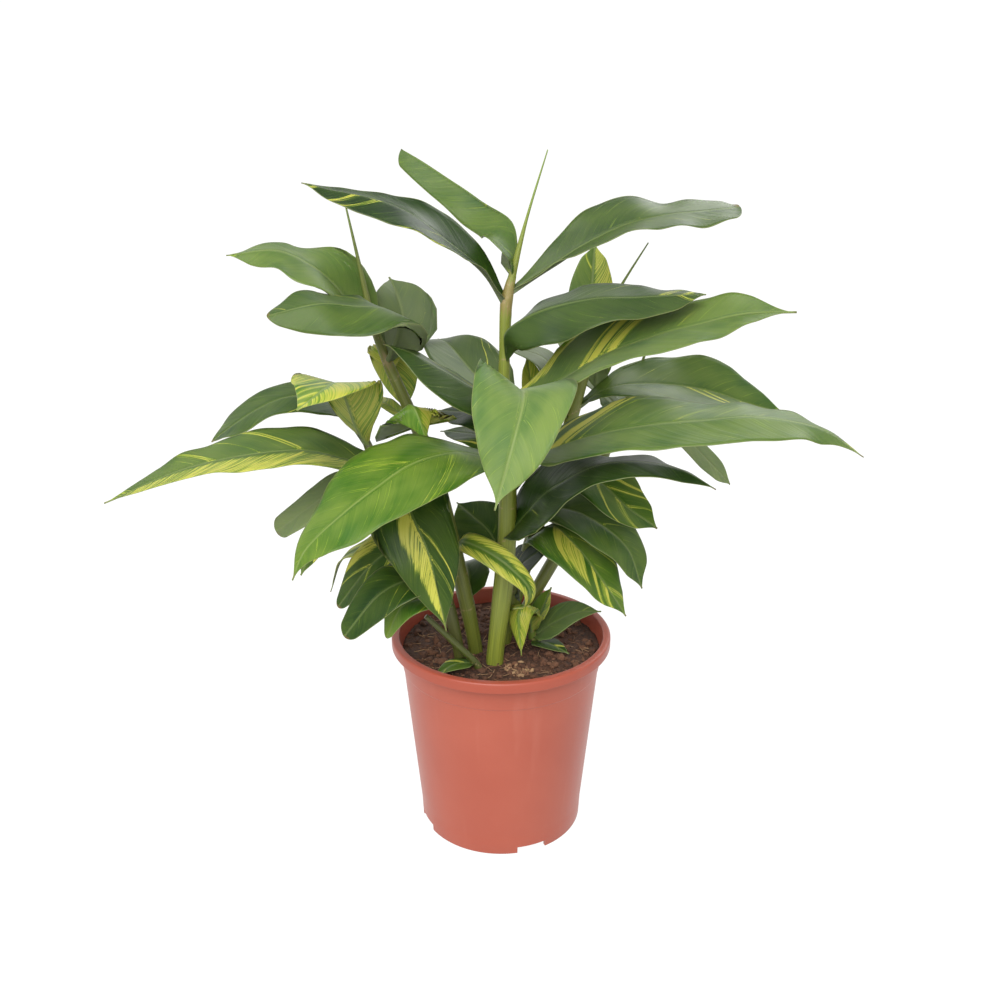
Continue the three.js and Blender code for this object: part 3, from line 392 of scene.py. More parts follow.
# %% Leaf table
LEAVES = {
    "leaf_a_top_left": dict(cane="a", height=536, width=60, end=0.72, belly=0.48, blunt=1,
        rib=[(14, -8, 555), (10, 5, 579), (-18, 25, 597), (-87, 55, 637)],
        left=[0, -45, -50, -60], right=[-66, -66, -74, -45]),
    "leaf_a_left": dict(cane="a", height=512, width=55, end=0.93,
        rib=[(-12, -26, 538), (-42, -38, 567), (-79, -48, 594), (-156, -56, 614)],
        left=[0, -5, -35, -45], right=[50, 36, -10, -15], right_curl=[0, 20, 50, 30]),
    "leaf_a_top_right": dict(cane="a", height=522, width=69, end=0.8, belly=1.2, blunt=1,
        rib=[(44, -10, 546), (80, -5, 566), (117, 0, 580), (201, 4, 592)],
        left=[40, 52, 45, 12, 8], right=[0, 5, 0, -16, -18]),
    "leaf_a_right": dict(cane="a", height=464, width=66, end=0.9, belly=0.9,
        rib=[(4, -40, 493), (19, -46, 505), (38, -51, 514), (80, -58, 524), (165, -60, 528)],
        left=[-50, 10, 10, 8], right=[-78, -55, -32, -30]),
    "leaf_b_upright": dict(cane="b", height=464, width=43, end=0.93,
        rib=[(83, 62, 472), (84, 72, 512), (87, 85, 553)],
        left=[10, 10], right=[10, 10]),
    "leaf_a_striped_right": dict(cane="a", height=425, width=82,
        rib=[(45, -48, 453), (81, -62, 477), (136, -70, 500), (191, -72, 514), (235, -75, 516)],
        left=[38, 38, 32, 55], right=[0, -5, -17, -17]),
    "leaf_b_right": dict(cane="b", height=408, width=78, belly=1.15,
        rib=[(97, 40, 426), (135, 52, 428), (192, 60, 420), (240, 64, 405), (277, 66, 394)],
        left=[5, 26, 48, 55], right=[-10, -10, -10, -10]),
    "leaf_a_longest": dict(cane="a", height=374, width=80, end=0.96, belly=0.93,
        rib=[(44, -60, 399), (86, -85, 420), (137, -100, 433),
             (198, -108, 438), (254, -110, 429), (289, -112, 407)],
        left=[38, 25, 4, -8], right=[-8, -15, -22, -22]),
    "leaf_a_arched": dict(cane="a", height=305, width=72, end=0.93, belly=0.62,
        rib=[(29, -48, 345), (49, -74, 372), (79, -89, 393),
             (117, -98, 399), (145, -102, 394), (175, -104, 377)],
        left=[45, 30, -5, -25], right=[-25, -35, -25, -15, -50]),
    "leaf_c_right": dict(cane="c", height=372, width=40, end=0.85,
        rib=[(135, 75, 382), (178, 85, 369), (202, 88, 347), (231, 90, 316)],
        roll=[10, 40]),
    "leaf_b_low_right": dict(cane="b", height=340, width=56, end=0.93,
        rib=[(69, 15, 349), (90, -5, 350), (112, -22, 333), (140, -34, 316)],
        roll=[10, 10], left=[30, 20], right=[0, -5]),
    "leaf_b_ridged": dict(cane="b", height=305, width=60, end=0.92, belly=0.8,
        rib=[(59, 0, 323), (90, -20, 315), (114, -30, 295), (129, -36, 258)],
        roll=[10, 10], left=[15, 0]),
    "leaf_b_hanging": dict(cane="b", height=285, width=72, end=0.95, belly=0.8,
        rib=[(49, -12, 310), (69, -30, 297), (87, -42, 277), (113, -54, 239)],
        roll=[10, 0]),
    "leaf_b_low": dict(cane="b", height=232, width=60, belly=0.58,
        rib=[(16, 4, 261), (34, 0, 280), (53, 6, 290)],
        roll=[10, 10], left=[10, 10], right=[-5, -5]),
    "leaf_a_front": dict(cane="a", height=436, width=84,
        rib=[(9, -58, 449), (18, -105, 458), (12, -145, 439), (-5, -172, 383)],
        left=[0, 10, 15, 0], right=[20, 40, 10, 0]),
    "leaf_a_dark_left": dict(cane="a", height=428, width=70, belly=0.85,
        rib=[(-22, -40, 446), (-51, -52, 466), (-73, -60, 480), (-95, -66, 489)],
        left=[-35, -40, -45], right=[7, 5, 0]),
    "leaf_a_behind_left": dict(cane="a", height=414, width=76,
        rib=[(-12, -6, 436), (-30, 10, 454), (-47, 30, 469), (-59, 62, 469)],
        left=[10, 10], right=[10, 10]),
    "leaf_a_front_left": dict(cane="a", height=378, width=84, end=0.97,
        rib=[(-38, -75, 399), (-80, -118, 398), (-121, -150, 375), (-150, -166, 350), (-161, -172, 326)],
        left=[-10, -20, -20], right=[10, 14, 0]),
    "leaf_d_hanging": dict(cane="d", height=350, width=76, belly=0.9,
        rib=[(-71, -45, 365), (-78, -76, 354), (-61, -98, 319), (-46, -112, 252)],
        left=[-25, -28, -30]),
    "leaf_d_narrow": dict(cane="d", height=288, width=24, end=0.97,
        rib=[(-33, -48, 309), (-12, -62, 305), (9, -70, 292),
             (25, -72, 273), (22, -68, 255), (11, -64, 250)],
        roll=[40, 30, -10]),
    "leaf_e_low_left": dict(cane="e", height=302, width=50, end=0.9, belly=0.8, blunt=1,
        rib=[(-91, -36, 301), (-116, -40, 285), (-148, -48, 245)],
        roll=[-35, -25]),
    "leaf_e_low_dark": dict(cane="e", height=251, width=50, end=0.85, belly=0.8, blunt=1,
        rib=[(-77, -84, 289), (-101, -97, 282), (-134, -107, 245)],
        roll=[-20, -10]),
    "leaf_e_thin": dict(cane="e", height=332, width=32, belly=0.8,
        rib=[(-133, 22, 276), (-153, 22, 263), (-166, 19, 230)],
        roll=[-20, -20]),
    "leaf_e_small": dict(cane="e", height=243, width=42, end=0.92, belly=0.8, blunt=1,
        rib=[(-68, -66, 263), (-87, -80, 261), (-100, -90, 235)],
        roll=[-10, 0]),
    "leaf_e_behind_front_left": dict(cane="e", height=330, width=36, end=0.9,
        rib=[(-122, -40, 358), (-146, -74, 344), (-169, -100, 299)],
        roll=[-10, -10]),
    "leaf_e_grey": dict(cane="e", height=330, width=35, end=0.7, blunt=1,
        rib=[(-139, -10, 350), (-167, -24, 337), (-202, -34, 313)],
        roll=[-30, -30]),
    "leaf_d_front": dict(cane="d", height=400, width=80, belly=0.5, blunt=1,
        rib=[(-80, -30, 429), (-75, -38, 429), (-69, -44, 417), (-64, -48, 399)],
        left=[-10, -30, -40], right=[-10, -35, -45]),
    "leaf_d_left": dict(cane="d", height=482, width=66, end=0.95, belly=0.8,
        rib=[(-131, 2, 513), (-156, -6, 540), (-186, -12, 556), (-230, -16, 554)],
        left=[-10, -8, -35, -60], right=[60, 60, 10, 0]),
    "leaf_d_folded": dict(cane="d", height=458, width=74, end=0.93, blunt=1,
        rib=[(-86, -24, 496), (-92, -40, 511), (-121, -56, 519), (-145, -66, 522), (-188, -70, 512)],
        left=[60, 0, -45, -50], right=[0, 0, 10, 12]),
    "leaf_d_upright": dict(cane="d", height=466, width=64, belly=0.85,
        rib=[(-88, 25, 488), (-92, 38, 508), (-102, 60, 526)],
        left=[30, 30], right=[5, 5]),
    "leaf_d_yellow": dict(cane="d", height=450, width=46,
        rib=[(-102, 30, 469), (-95, 36, 445), (-88, 34, 406)]),
    "leaf_e_dark_left": dict(cane="e", height=374, width=50, end=0.8, belly=1.1,
        rib=[(-143, 8, 415), (-178, -4, 430), (-216, -18, 421), (-254, -28, 395)],
        roll=[-18, -18]),
    "leaf_e_folding": dict(cane="e", height=388, width=72, belly=1.1, blunt=1,
        rib=[(-126, -26, 410), (-133, -36, 438), (-138, -50, 452), (-143, -84, 456), (-159, -118, 447)],
        left=[20, 20, 0, 0], right=[20, 20, 0, 0]),
    "leaf_e_long": dict(cane="e", height=366, width=62, end=0.97, belly=0.7,
        rib=[(-132, -34, 380), (-171, -54, 395), (-250, -80, 391), (-327, -98, 363)],
        roll=[-12, -12], left=[4, 6], right=[16, 10, 4]),
    "leaf_d_behind_low": dict(cane="d", height=236, width=40,
        rib=[(-30, 4, 250), (-34, 28, 256), (-38, 52, 248)],
        left=[10, 10], right=[10, 10]),
    "leaf_a_behind_low": dict(cane="a", height=284, width=56,
        rib=[(-12, 0, 301), (-27, 20, 308), (-43, 45, 313)],
        roll=[-25, -25]),
    "leaf_a_behind_middle": dict(cane="a", height=372, width=40,
        rib=[(-15, 0, 390), (-36, 22, 390), (-57, 40, 386)],
        roll=[-10, -10]),
    "leaf_a_behind_high": dict(cane="a", height=392, width=44,
        rib=[(-17, 2, 412), (-36, 22, 409), (-59, 44, 405)],
        roll=[-20, -20]),
    "leaf_c_back_up": dict(cane="c", height=396, width=50, end=0.82, blunt=1,
        rib=[(81, 94, 430), (67, 104, 450), (55, 110, 466)],
        left=[10, 10], right=[10, 10]),
    "leaf_b_arching_left": dict(cane="b", height=394, width=60, end=0.85, blunt=1,
        rib=[(53, 40, 427), (42, 46, 452), (10, 50, 464)]),
    "leaf_b_small_upright": dict(cane="b", height=350, width=44, end=0.97,
        rib=[(37, 42, 396), (30, 50, 418), (24, 56, 456)],
        left=[12, 12], right=[12, 12]),
    "leaf_b_green_hanging": dict(cane="b", height=452, width=30,
        rib=[(89, 60, 453), (91, 68, 436), (91, 68, 416)]),
    "leaf_c_far_right": dict(cane="c", height=386, width=56,
        rib=[(119, 110, 400), (165, 150, 396), (213, 185, 377)],
        left=[10, 0], right=[10, 0]),
    "leaf_a_far": dict(cane="a", height=340, width=52,
        rib=[(14, 30, 368), (13, 80, 360), (9, 130, 335)],
        left=[10, 0], right=[10, 0]),
    "leaf_d_far_left": dict(cane="d", height=385, width=50,
        rib=[(-66, 30, 370), (-85, 80, 360), (-102, 125, 333)],
        left=[10, 0], right=[10, 0]),
    "leaf_c_far_low": dict(cane="c", height=300, width=50,
        rib=[(90, 85, 290), (114, 120, 283), (135, 150, 253)],
        left=[10, 0], right=[10, 0]),
    "leaf_d_far_low": dict(cane="d", height=270, width=46,
        rib=[(-59, 25, 276), (-76, 65, 266), (-93, 100, 236)],
        left=[10, 0], right=[10, 0]),
    "shoot_right_striped": dict(cane="f", height=196, width=30, belly=0.72,
        rib=[(24, -12, 231), (17, -22, 228), (19, -30, 186)],
        left=[-12, -12], right=[-12, -12]),
    "shoot_right_upright": dict(cane="f", height=202, width=26, belly=0.8,
        rib=[(38, 9, 214), (48, 14, 237)],
        left=[10, 10], right=[10, 10]),
    "shoot_right_broad": dict(cane="f", height=190, width=40, belly=0.75,
        rib=[(52, -2, 208), (72, -10, 222), (94, -16, 226)],
        roll=[10, 10], left=[20, 10], right=[-10, -10]),
    "shoot_right_low": dict(cane="f", height=187, width=26, belly=0.75,
        rib=[(44, -12, 191), (64, -28, 188)]),
    "shoot_left_leaf": dict(cane="g", height=190, width=22, belly=0.8,
        rib=[(-42, -58, 193), (-60, -70, 188)]),
    "leaf_d_small_left": dict(cane="d", height=402, width=20,
        rib=[(-103, 16, 418), (-115, 32, 418), (-145, 60, 416)]),
}


print(len(LEAVES), "leaves")

# %% [markdown]
# ## Stripes, leaf by leaf
# A striped ginger leaf is a mix of two tissues, one green and one that has lost its green. Each vein
# carries its own tissue outward, so a stripe starts at the midrib and follows its vein to the margin.
# A stripe is written as the half it lies on, the stretch of midrib that its veins start from (0 at the
# cane, 1 at the tip, below 0 for veins that start in the stalk), how full it is, and how far out from
# the midrib it lies. Tone says how light the green is, and a third number how much grey is mixed into
# the upper face as a painted sheen, the reflection of the bright room. The stripes were matched to the
# photo; leaves that it hides get a few from a seeded draw.

# %% Tones and stripes
LEFT, RIGHT = -1, 1
MARKS = {
    "leaf_a_top_left": (0.42, [(RIGHT, -0.25, 0.02, 0.85, 0.55, 0.9),
                               (RIGHT, 0.45, 0.47, 0.5)], 0.15),
    "leaf_a_left": (0.03, [(LEFT, 0.67, 0.72, 0.62), (LEFT, 0.76, 0.8, 0.6),
                           (LEFT, 0.2, 0.4, 0.6, 0.93, 1), (LEFT, 0.93, 1, 0.5),
                           (RIGHT, 0.93, 1, 0.4)], 0),
    "leaf_a_top_right": (0.2, [], 0.2),
    "leaf_a_right": (0.12, [(LEFT, 0.8, 0.86, 0.5), (RIGHT, 0.88, 0.91, 0.6),
                            (LEFT, 0.9, 0.94, 0.6)], 0.1),
    "leaf_b_upright": (0.7, [(RIGHT, 0.1, 0.95, 0.66, 0.1, 1), (LEFT, 0.75, 0.8, 0.5)], 0.3),
    "leaf_a_striped_right": (0.55, [(LEFT, 0.33, 0.375, 1), (LEFT, 0.30, 0.322, 0.85),
                                    (LEFT, 0.405, 0.44, 0.95), (LEFT, 0.385, 0.395, 0.75),
                                    (LEFT, -0.3, 0.12, 0.85, 0.6, 1),
                                    (RIGHT, 0.05, 0.2, 0.6, 0, 0.1)], 0.3),
    "leaf_b_right": (0.42, [(RIGHT, 0.5, 0.53, 0.7), (RIGHT, 0.56, 0.6, 0.65),
                            (RIGHT, 0.74, 0.79, 0.6)], 0.1),
    "leaf_a_longest": (0.5, [(LEFT, 0.155, 0.198, 1), (LEFT, 0.205, 0.222, 0.8),
                             (LEFT, 0.08, 0.105, 0.85), (LEFT, 0.25, 0.262, 0.6),
                             (LEFT, 0.5, 0.51, 0.45), (LEFT, 0.93, 1, 0.6)], 0.2),
    "leaf_a_arched": (0.05, []),
    "leaf_c_right": (1, [], 2),
    "leaf_b_low_right": (0.5, [(LEFT, 0.36, 0.42, 0.7), (LEFT, 0.5, 0.54, 0.65),
                               (RIGHT, 0.4, 0.44, 0.65), (RIGHT, 0.6, 0.68, 0.6),
                               (LEFT, 0.7, 0.74, 0.6), (LEFT, -0.2, 0.2, 0.6, 0.9, 1)]),
    "leaf_b_ridged": (0.35, [(LEFT, 0.5, 0.53, 0.5)], 0.1),
    "leaf_b_hanging": (0.55, [(RIGHT, 0.3, 0.55, 0.8, 0, 0.7), (LEFT, 0.12, 0.2, 0.7),
                              (RIGHT, 0.62, 0.66, 0.7), (LEFT, 0.78, 0.84, 0.6),
                              (RIGHT, 0.72, 0.8, 0.6), (LEFT, 0.4, 0.43, 0.5)]),
    "leaf_b_low": (0.02, []),
    "leaf_a_front": (0.85, [], 0.4),
    "leaf_a_dark_left": (0.12, [(RIGHT, 0.24, 0.28, 0.65)], 0.05),
    "leaf_a_behind_left": (0.25, [(RIGHT, 0.3, 0.33, 0.6)], 0.3),
    "leaf_a_front_left": (0.7, [(LEFT, 0.2, 0.3, 0.2), (RIGHT, 0.4, 0.5, 0.2)]),
    "leaf_d_hanging": (0.22, [(RIGHT, 0.36, 0.99, 0.86, 0, 0.5), (LEFT, 0.5, 0.53, 0.6),
                              (LEFT, 0.62, 0.66, 0.6), (RIGHT, 0.2, 0.23, 0.5),
                              (RIGHT, 0.1, 0.12, 0.45)]),
    "leaf_d_narrow": (0.5, [(RIGHT, -0.4, 1, 0.72, 0.35, 1), (LEFT, -0.4, 1, 0.72, 0.35, 1)]),
    "leaf_e_low_left": (0.25, [(RIGHT, -0.4, 0.35, 0.82, 0.4, 1), (RIGHT, 0.5, 0.56, 0.55),
                               (LEFT, 0.5, 0.55, 0.6), (LEFT, 0.25, 0.3, 0.6)]),
    "leaf_e_low_dark": (0.18, [(RIGHT, 0.3, 0.33, 0.5)]),
    "leaf_e_thin": (0.5, [(RIGHT, -0.4, 1, 0.65, 0.2, 1), (LEFT, 0.2, 0.8, 0.6, 0.3, 1)]),
    "leaf_e_small": (1, [(RIGHT, 0.4, 0.45, 0.6), (LEFT, 0.3, 0.34, 0.5)]),
    "leaf_e_behind_front_left": (0.3, [(LEFT, 0.72, 0.84, 0.7), (RIGHT, 0.84, 0.9, 0.6)]),
    "leaf_e_grey": (0.8, [], 1.6),
    "leaf_d_front": (1, [(LEFT, -0.3, 0.75, 0.72, 0.15, 1)]),
    "leaf_d_left": (0.55, [(LEFT, 0.93, 1, 0.6), (RIGHT, 0.93, 1, 0.5)], 0.25),
    "leaf_d_folded": (0.3, [], 0.15),
    "leaf_d_upright": (0.4, [(RIGHT, -0.4, -0.08, 0.85, 0.72, 1)], 0.7),
    "leaf_d_yellow": (1, [(RIGHT, -0.4, 1, 0.62), (LEFT, -0.4, 1, 0.62)]),
    "leaf_e_dark_left": (0.25, [(LEFT, 0.4, 0.42, 0.5)], 0.05),
    "leaf_e_folding": (0.9, [(LEFT, 0.5, 1, 0.62, 0.1, 1), (RIGHT, 0.56, 0.6, 0.7),
                             (RIGHT, 0.66, 0.7, 0.7), (RIGHT, 0.78, 0.84, 0.7),
                             (RIGHT, 0.9, 0.96, 0.7), (LEFT, -0.4, 0.5, 0.6),
                             (RIGHT, -0.4, 0.5, 0.6)]),
    "leaf_e_long": (0.45, [(LEFT, 0.05, 0.9, 0.58, 0.15, 1), (RIGHT, 0.3, 0.33, 0.6),
                           (RIGHT, 0.6, 0.63, 0.6), (RIGHT, 0.45, 0.46, 0.5), (RIGHT, 0.9, 1, 0.5),
                           (LEFT, 0.2, 0.4, 0.7, 0.5, 1)], 0.25),
    "leaf_d_behind_low": (0.25, []),
    "leaf_a_behind_low": (0.3, []),
    "leaf_a_behind_high": (0.0, []),
    "leaf_c_back_up": (0.6, [], 0.9),
    "leaf_b_arching_left": (0.3, [], 0.6),
    "leaf_b_small_upright": (1, [(LEFT, -0.4, 1, 0.66), (RIGHT, -0.4, 1, 0.66)]),
    "leaf_b_green_hanging": (1, [(RIGHT, 0.3, 0.4, 0.5)]),
    "leaf_c_far_low": (0.35, [(RIGHT, 0.2, 0.4, 0.7), (LEFT, 0.5, 0.6, 0.7)]),
    "shoot_right_striped": (1, [(RIGHT, -0.4, 1, 0.6, 0.1, 1), (LEFT, -0.4, 1, 0.62, 0.1, 1)]),
    "shoot_right_upright": (0.7, [(RIGHT, -0.4, 1, 0.6, 0.3, 1)]),
    "shoot_right_broad": (0.5, [], 0.4),
    "leaf_d_small_left": (1, [(LEFT, -0.4, 1, 0.5), (RIGHT, -0.4, 1, 0.5)], 1),
}


def marks_of(name):
    """A leaf's tone, stripes and painted grey sheen; an unlisted leaf draws its own tone and stripes from
    its place in the table, and gets no sheen.
    """
    if name in MARKS:
        tone, stripes, *painted_grey = MARKS[name]
        return tone, stripes, painted_grey[0] if painted_grey else 0
    draw = np.random.default_rng(list(LEAVES).index(name))
    stripes = []
    for half in (LEFT, RIGHT):
        start = draw.uniform(0.1, 0.7)
        stripes.append((half, start, start + draw.uniform(0.03, 0.12), draw.uniform(0.5, 0.8)))
    return draw.uniform(0.15, 0.4), stripes, 0


print(sum(len(row[1]) for row in MARKS.values()), "stripes placed by hand")

# %% [markdown]
# ## Growing a blade
# The blade is worked out as one grid of points for its upper face, from the same rules as its solid:
# the midrib's curve, a lance-shaped width, and a rise for each half. The rows of the grid don't run
# straight across. They follow the side veins, which leave the midrib at a slant and bend toward the
# tip, so a stripe is a row of faces and has a clean edge over its whole length. On top of that form
# come the things a real blade has: a short channelled stalk, a midrib sunk in the upper face and
# standing out below, margins that ripple, and a tip that closes to a point. The lower face is the
# upper one moved down by the blade's thickness. On the narrow and hanging leaves the veins leave the
# midrib at a sharper angle, and a number for each of those says how much sharper.

# %% Blade numbers
LANCE = [(0, 0.05), (0.1, 0.33), (0.25, 0.8), (0.42, 1), (0.6, 0.93), (0.78, 0.62), (0.9, 0.27),
         (0.96, 0.1), (1, 0.02)]
ACUTE = {"leaf_d_hanging": 2.0, "leaf_d_narrow": 1.7, "leaf_b_hanging": 1.4, "leaf_e_low_left": 1.6,
         "leaf_b_low_right": 1.3, "leaf_e_thin": 2.0, "shoot_right_striped": 2.2, "leaf_d_front": 1.4,
         "leaf_b_small_upright": 1.8, "leaf_b_upright": 1.3}
LINE_SAMPLES = 600
ROW_GAP = 2.2
BLADE_COLUMNS = 11
NARROW_COLUMNS = 6
NARROW_WIDTH = 36
MIDRIB_CROWDING = 1.35
BLADE_THICKNESS = 0.5
RIB_HEIGHT = 1.9
RIB_HALF_WIDTH = 1.5
GROOVE_DEPTH = 0.5
GROOVE_HALF_WIDTH = 1.3
STALK_HALF_WIDTH = 3
CHANNEL_RISE = 40
CHANNEL_STEEPEST = 60
CHANNEL_END = 0.09
TIP_HALF_WIDTH = 0.7
TIP_START = 0.87
TIP_BEND = 1.6
BLUNT_START = 0.95
STEEPEST_MARGIN = 0.45
VEIN_SLANT = 1.1
VEIN_BEND = 0.45
RIPPLE_SHARE = 0.045
RIPPLE_CELL = 22
SAG_SHARE = 0.02
SAG_CELL = 38

# %% Blade width and the lean of veins
def lance(t):
    """Half width as a share of the widest: a smooth curve through the lance's points."""
    x, y = np.array(LANCE, float).T
    slope = np.gradient(y, x)
    slope[1:-1] = (y[2:] - y[:-2]) / (x[2:] - x[:-2])
    i = np.clip(np.searchsorted(x, t), 1, len(x) - 1)
    h = x[i] - x[i - 1]
    r = (t - x[i - 1]) / h
    return (y[i - 1] * (2 * r**3 - 3 * r**2 + 1) + h * slope[i - 1] * (r**3 - 2 * r**2 + r)
            + y[i] * (3 * r**2 - 2 * r**3) + h * slope[i] * (r**3 - r**2))


def half_width(leaf, t):
    least = STALK_HALF_WIDTH + (TIP_HALF_WIDTH - STALK_HALF_WIDTH) * np.minimum(1, t * 3)
    place = (t * leaf.get("end", 1)) ** leaf.get("belly", 1)
    half = leaf["width"] / 2 * lance(place)
    if leaf.get("blunt"):
        half = half * np.sqrt(1 - np.clip((t - BLUNT_START) / (1 - BLUNT_START), 0, 1) ** 2)
    else:
        half = half * (1 - np.clip((t - TIP_START) / (1 - TIP_START), 0, 1) ** TIP_BEND)
    return np.maximum(least, half)


def vein_lean(s):
    """How many half widths a vein has moved toward the tip when it is s of the way out."""
    return VEIN_SLANT * s + VEIN_BEND * s**3


print("a vein moves", vein_lean(1), "half widths toward the tip on its way to the margin")
# %% Fold, curl and midrib
def half_angles(leaf, key, t, sign):
    """The angle of each point, from the stops of the left and of the right half."""
    left = stops(leaf.get("left" + key, [0, 0]), t)
    right = stops(leaf.get("right" + key, [0, 0]), t)
    return np.radians(np.where(sign < 0, left, right))


def midrib(leaf):
    """Even samples along the midrib: place, sideways and upward directions, and its length."""
    root = at_height(cane_line(leaf["cane"]), leaf["height"])
    line = spline([root, *leaf["rib"]], 60 * len(leaf["rib"]))
    middle, length = even_points(line, LINE_SAMPLES)
    forward = unit(np.gradient(middle, axis=0))
    heading = unit((middle[-1] - middle[0]) * [1, 1, 0])
    flat_side = np.cross(heading, [0, 0, 1])
    side = unit(flat_side - forward * (forward @ flat_side)[:, None])
    roll = np.radians(stops(leaf.get("roll", [0, 0]), np.linspace(0, 1, LINE_SAMPLES)))[:, None]
    side = side * np.cos(roll) + np.cross(forward, side) * np.sin(roll)
    return middle, side, np.cross(side, forward), length


lengths = sorted(midrib(leaf)[3] for leaf in LEAVES.values())
print("blades, with stalks, are", round(lengths[0]), "to", round(lengths[-1]), "mm long; half are over",
      round(lengths[len(lengths) // 2]))
# %% Stripes on a blade
def stripe_field(stripes, vein, s, sign, length):
    """How yellow each point is, from 0 to 1, as the stripes say."""
    yellow = np.zeros_like(vein)
    for wanted, start, finish, fullness, *limits in stripes:
        inner, outer = limits or (0, 1)
        soft = min(0.25 * (finish - start) * length, 3)
        along = smooth_step(vein, start * length - soft, start * length + soft)
        along *= 1 - smooth_step(vein, finish * length - soft, finish * length + soft)
        spread = smooth_step(s, inner - 0.12, inner + 0.12) if inner > 0 else 1
        spread *= 1 - smooth_step(s, outer - 0.14, outer + 0.14) if outer < 1 else 1
        yellow = np.maximum(yellow, along * spread * fullness * (sign == wanted))
    return yellow

# %% Blade
def blade(name):
    leaf = LEAVES[name]
    seed = list(LEAVES).index(name)
    middle_line, side_line, up_line, length = midrib(leaf)
    run_line = np.linspace(0, length, LINE_SAMPLES)
    half_line = half_width(leaf, run_line / length)
    acute = ACUTE.get(name, 1)
    grade = STEEPEST_MARGIN / acute * run_line
    eased = (np.minimum.accumulate(half_line - grade) + grade) * acute

    columns = NARROW_COLUMNS if leaf["width"] < NARROW_WIDTH else BLADE_COLUMNS
    c = np.arange(-columns, columns + 1) / columns
    rows = max(20, int(length / ROW_GAP))
    share = np.linspace(0, 1, rows + 1)
    near_start = 1 - smooth_step(share, 0, 0.1)
    near_end = smooth_step(share, 0.9, 1)
    sign = np.sign(c)
    s = np.abs(c) ** MIDRIB_CROWDING
    run = np.empty((rows + 1, len(c)))
    for k, lean in enumerate(vein_lean(s)):
        vein_line = run_line - eased * lean
        wanted = length * share + vein_line[0] * near_start + (vein_line[-1] - length) * near_end
        run[:, k] = np.interp(wanted, vein_line, run_line)
    t = run / length

    def along(line):
        """A line's columns, read off where each point of the grid lies along the midrib."""
        return np.stack([np.interp(run, run_line, line[:, k]) for k in range(3)], -1)

    middle, side, up = along(middle_line), along(side_line), along(up_line)
    half = np.interp(run, run_line, half_line)
    vein = run - np.interp(run, run_line, eased) * vein_lean(s)
    fold = half_angles(leaf, "", t, sign)
    channel = fold + np.radians(CHANNEL_RISE) * (1 - smooth_step(t, 0, CHANNEL_END))
    fold = np.maximum(fold, np.minimum(channel, np.radians(CHANNEL_STEEPEST)))
    curl = half_angles(leaf, "_curl", t, sign)
    bend = np.where(np.abs(curl) < 0.01, 0.01, curl)
    out = (np.sin(fold + bend * s) - np.sin(fold)) / bend
    rise = (np.cos(fold) - np.cos(fold + bend * s)) / bend
    tilt = fold + curl * s
    normal = up * np.cos(tilt)[..., None] - side * (sign * np.sin(tilt))[..., None]
    normal[:, columns] = up[:, columns]
    upper = middle + side * (sign * half * out)[..., None] + up * (half * rise)[..., None]

    across = half * s
    full = smooth_step(half / (leaf["width"] / 2), 0.1, 0.6)
    reach = min(leaf["width"], length / 2.5)
    ripple = lattice_noise(run, sign * 40, RIPPLE_CELL, seed) * s**2 * reach * RIPPLE_SHARE * full
    sag = lattice_noise(run, sign * 9 * s, SAG_CELL, seed + 100) * reach * SAG_SHARE * full
    sunk = -GROOVE_DEPTH * np.exp(-(across / GROOVE_HALF_WIDTH) ** 2)
    upper = upper + normal * (ripple + sag + sunk)[..., None]
    rib = RIB_HEIGHT * (1.15 - t) * np.exp(-(across / RIB_HALF_WIDTH) ** 2)
    lower = upper - normal * (BLADE_THICKNESS + rib)[..., None]

    tone, stripes, painted_sheen = marks_of(name)
    halves_apart = sign * 4 * smooth_step(s, 0, 0.1)
    yellow = stripe_field(stripes, vein, s, sign, length)
    # The third number of shape is the upper face's painted grey sheen; the lower face gets 1, for its own
    # grey.
    fields = {
        "place": triple(vein, run, seed * 9.3 + halves_apart),
        "shape": triple(across, half - across, painted_sheen),
        "look": triple(tone, yellow, smooth_step(t, 0.93, 1)),
    }
    below = {key: value.copy() for key, value in fields.items()}
    below["shape"][..., 2] = 1
    shape = run.shape
    index = np.arange(run.size).reshape(shape)
    rim = np.concatenate([index[:, 0], index[-1, 1:], index[::-1, -1][1:], index[0, ::-1][1:-1]])
    after = np.roll(rim, -1)
    walls = np.stack([rim, after, after + run.size, rim + run.size], axis=-1)
    return {
        "points": np.concatenate([upper.reshape(-1, 3), lower.reshape(-1, 3)]),
        "faces": [grid_faces(*shape), grid_faces(*shape, start=run.size, flip=True), walls],
        "fields": {key: np.concatenate([fields[key].reshape(-1, 3), below[key].reshape(-1, 3)])
                   for key in fields},
    }


# %% [markdown]
# ## The leaf's finish
# Seen close, the green is not one colour: fine side veins run to the margin every millimetre or so
# as faint light lines and shallow pleats, the midrib is pale, the margin has a thin light edge, and
# the lower face is paler and duller than the waxy upper one. The yellow starts from the stripe field
# on the mesh and is broken into streaks by noise that is stretched along the veins. Between full
# yellow and full green lies a band of light green, where only one layer of the leaf has lost its
# green. A little light passes through the thin blade, which subsurface scattering gives.
# Some upper faces are mixed toward the same grey as the lower face, a painted sheen for the bright room
# they reflect.

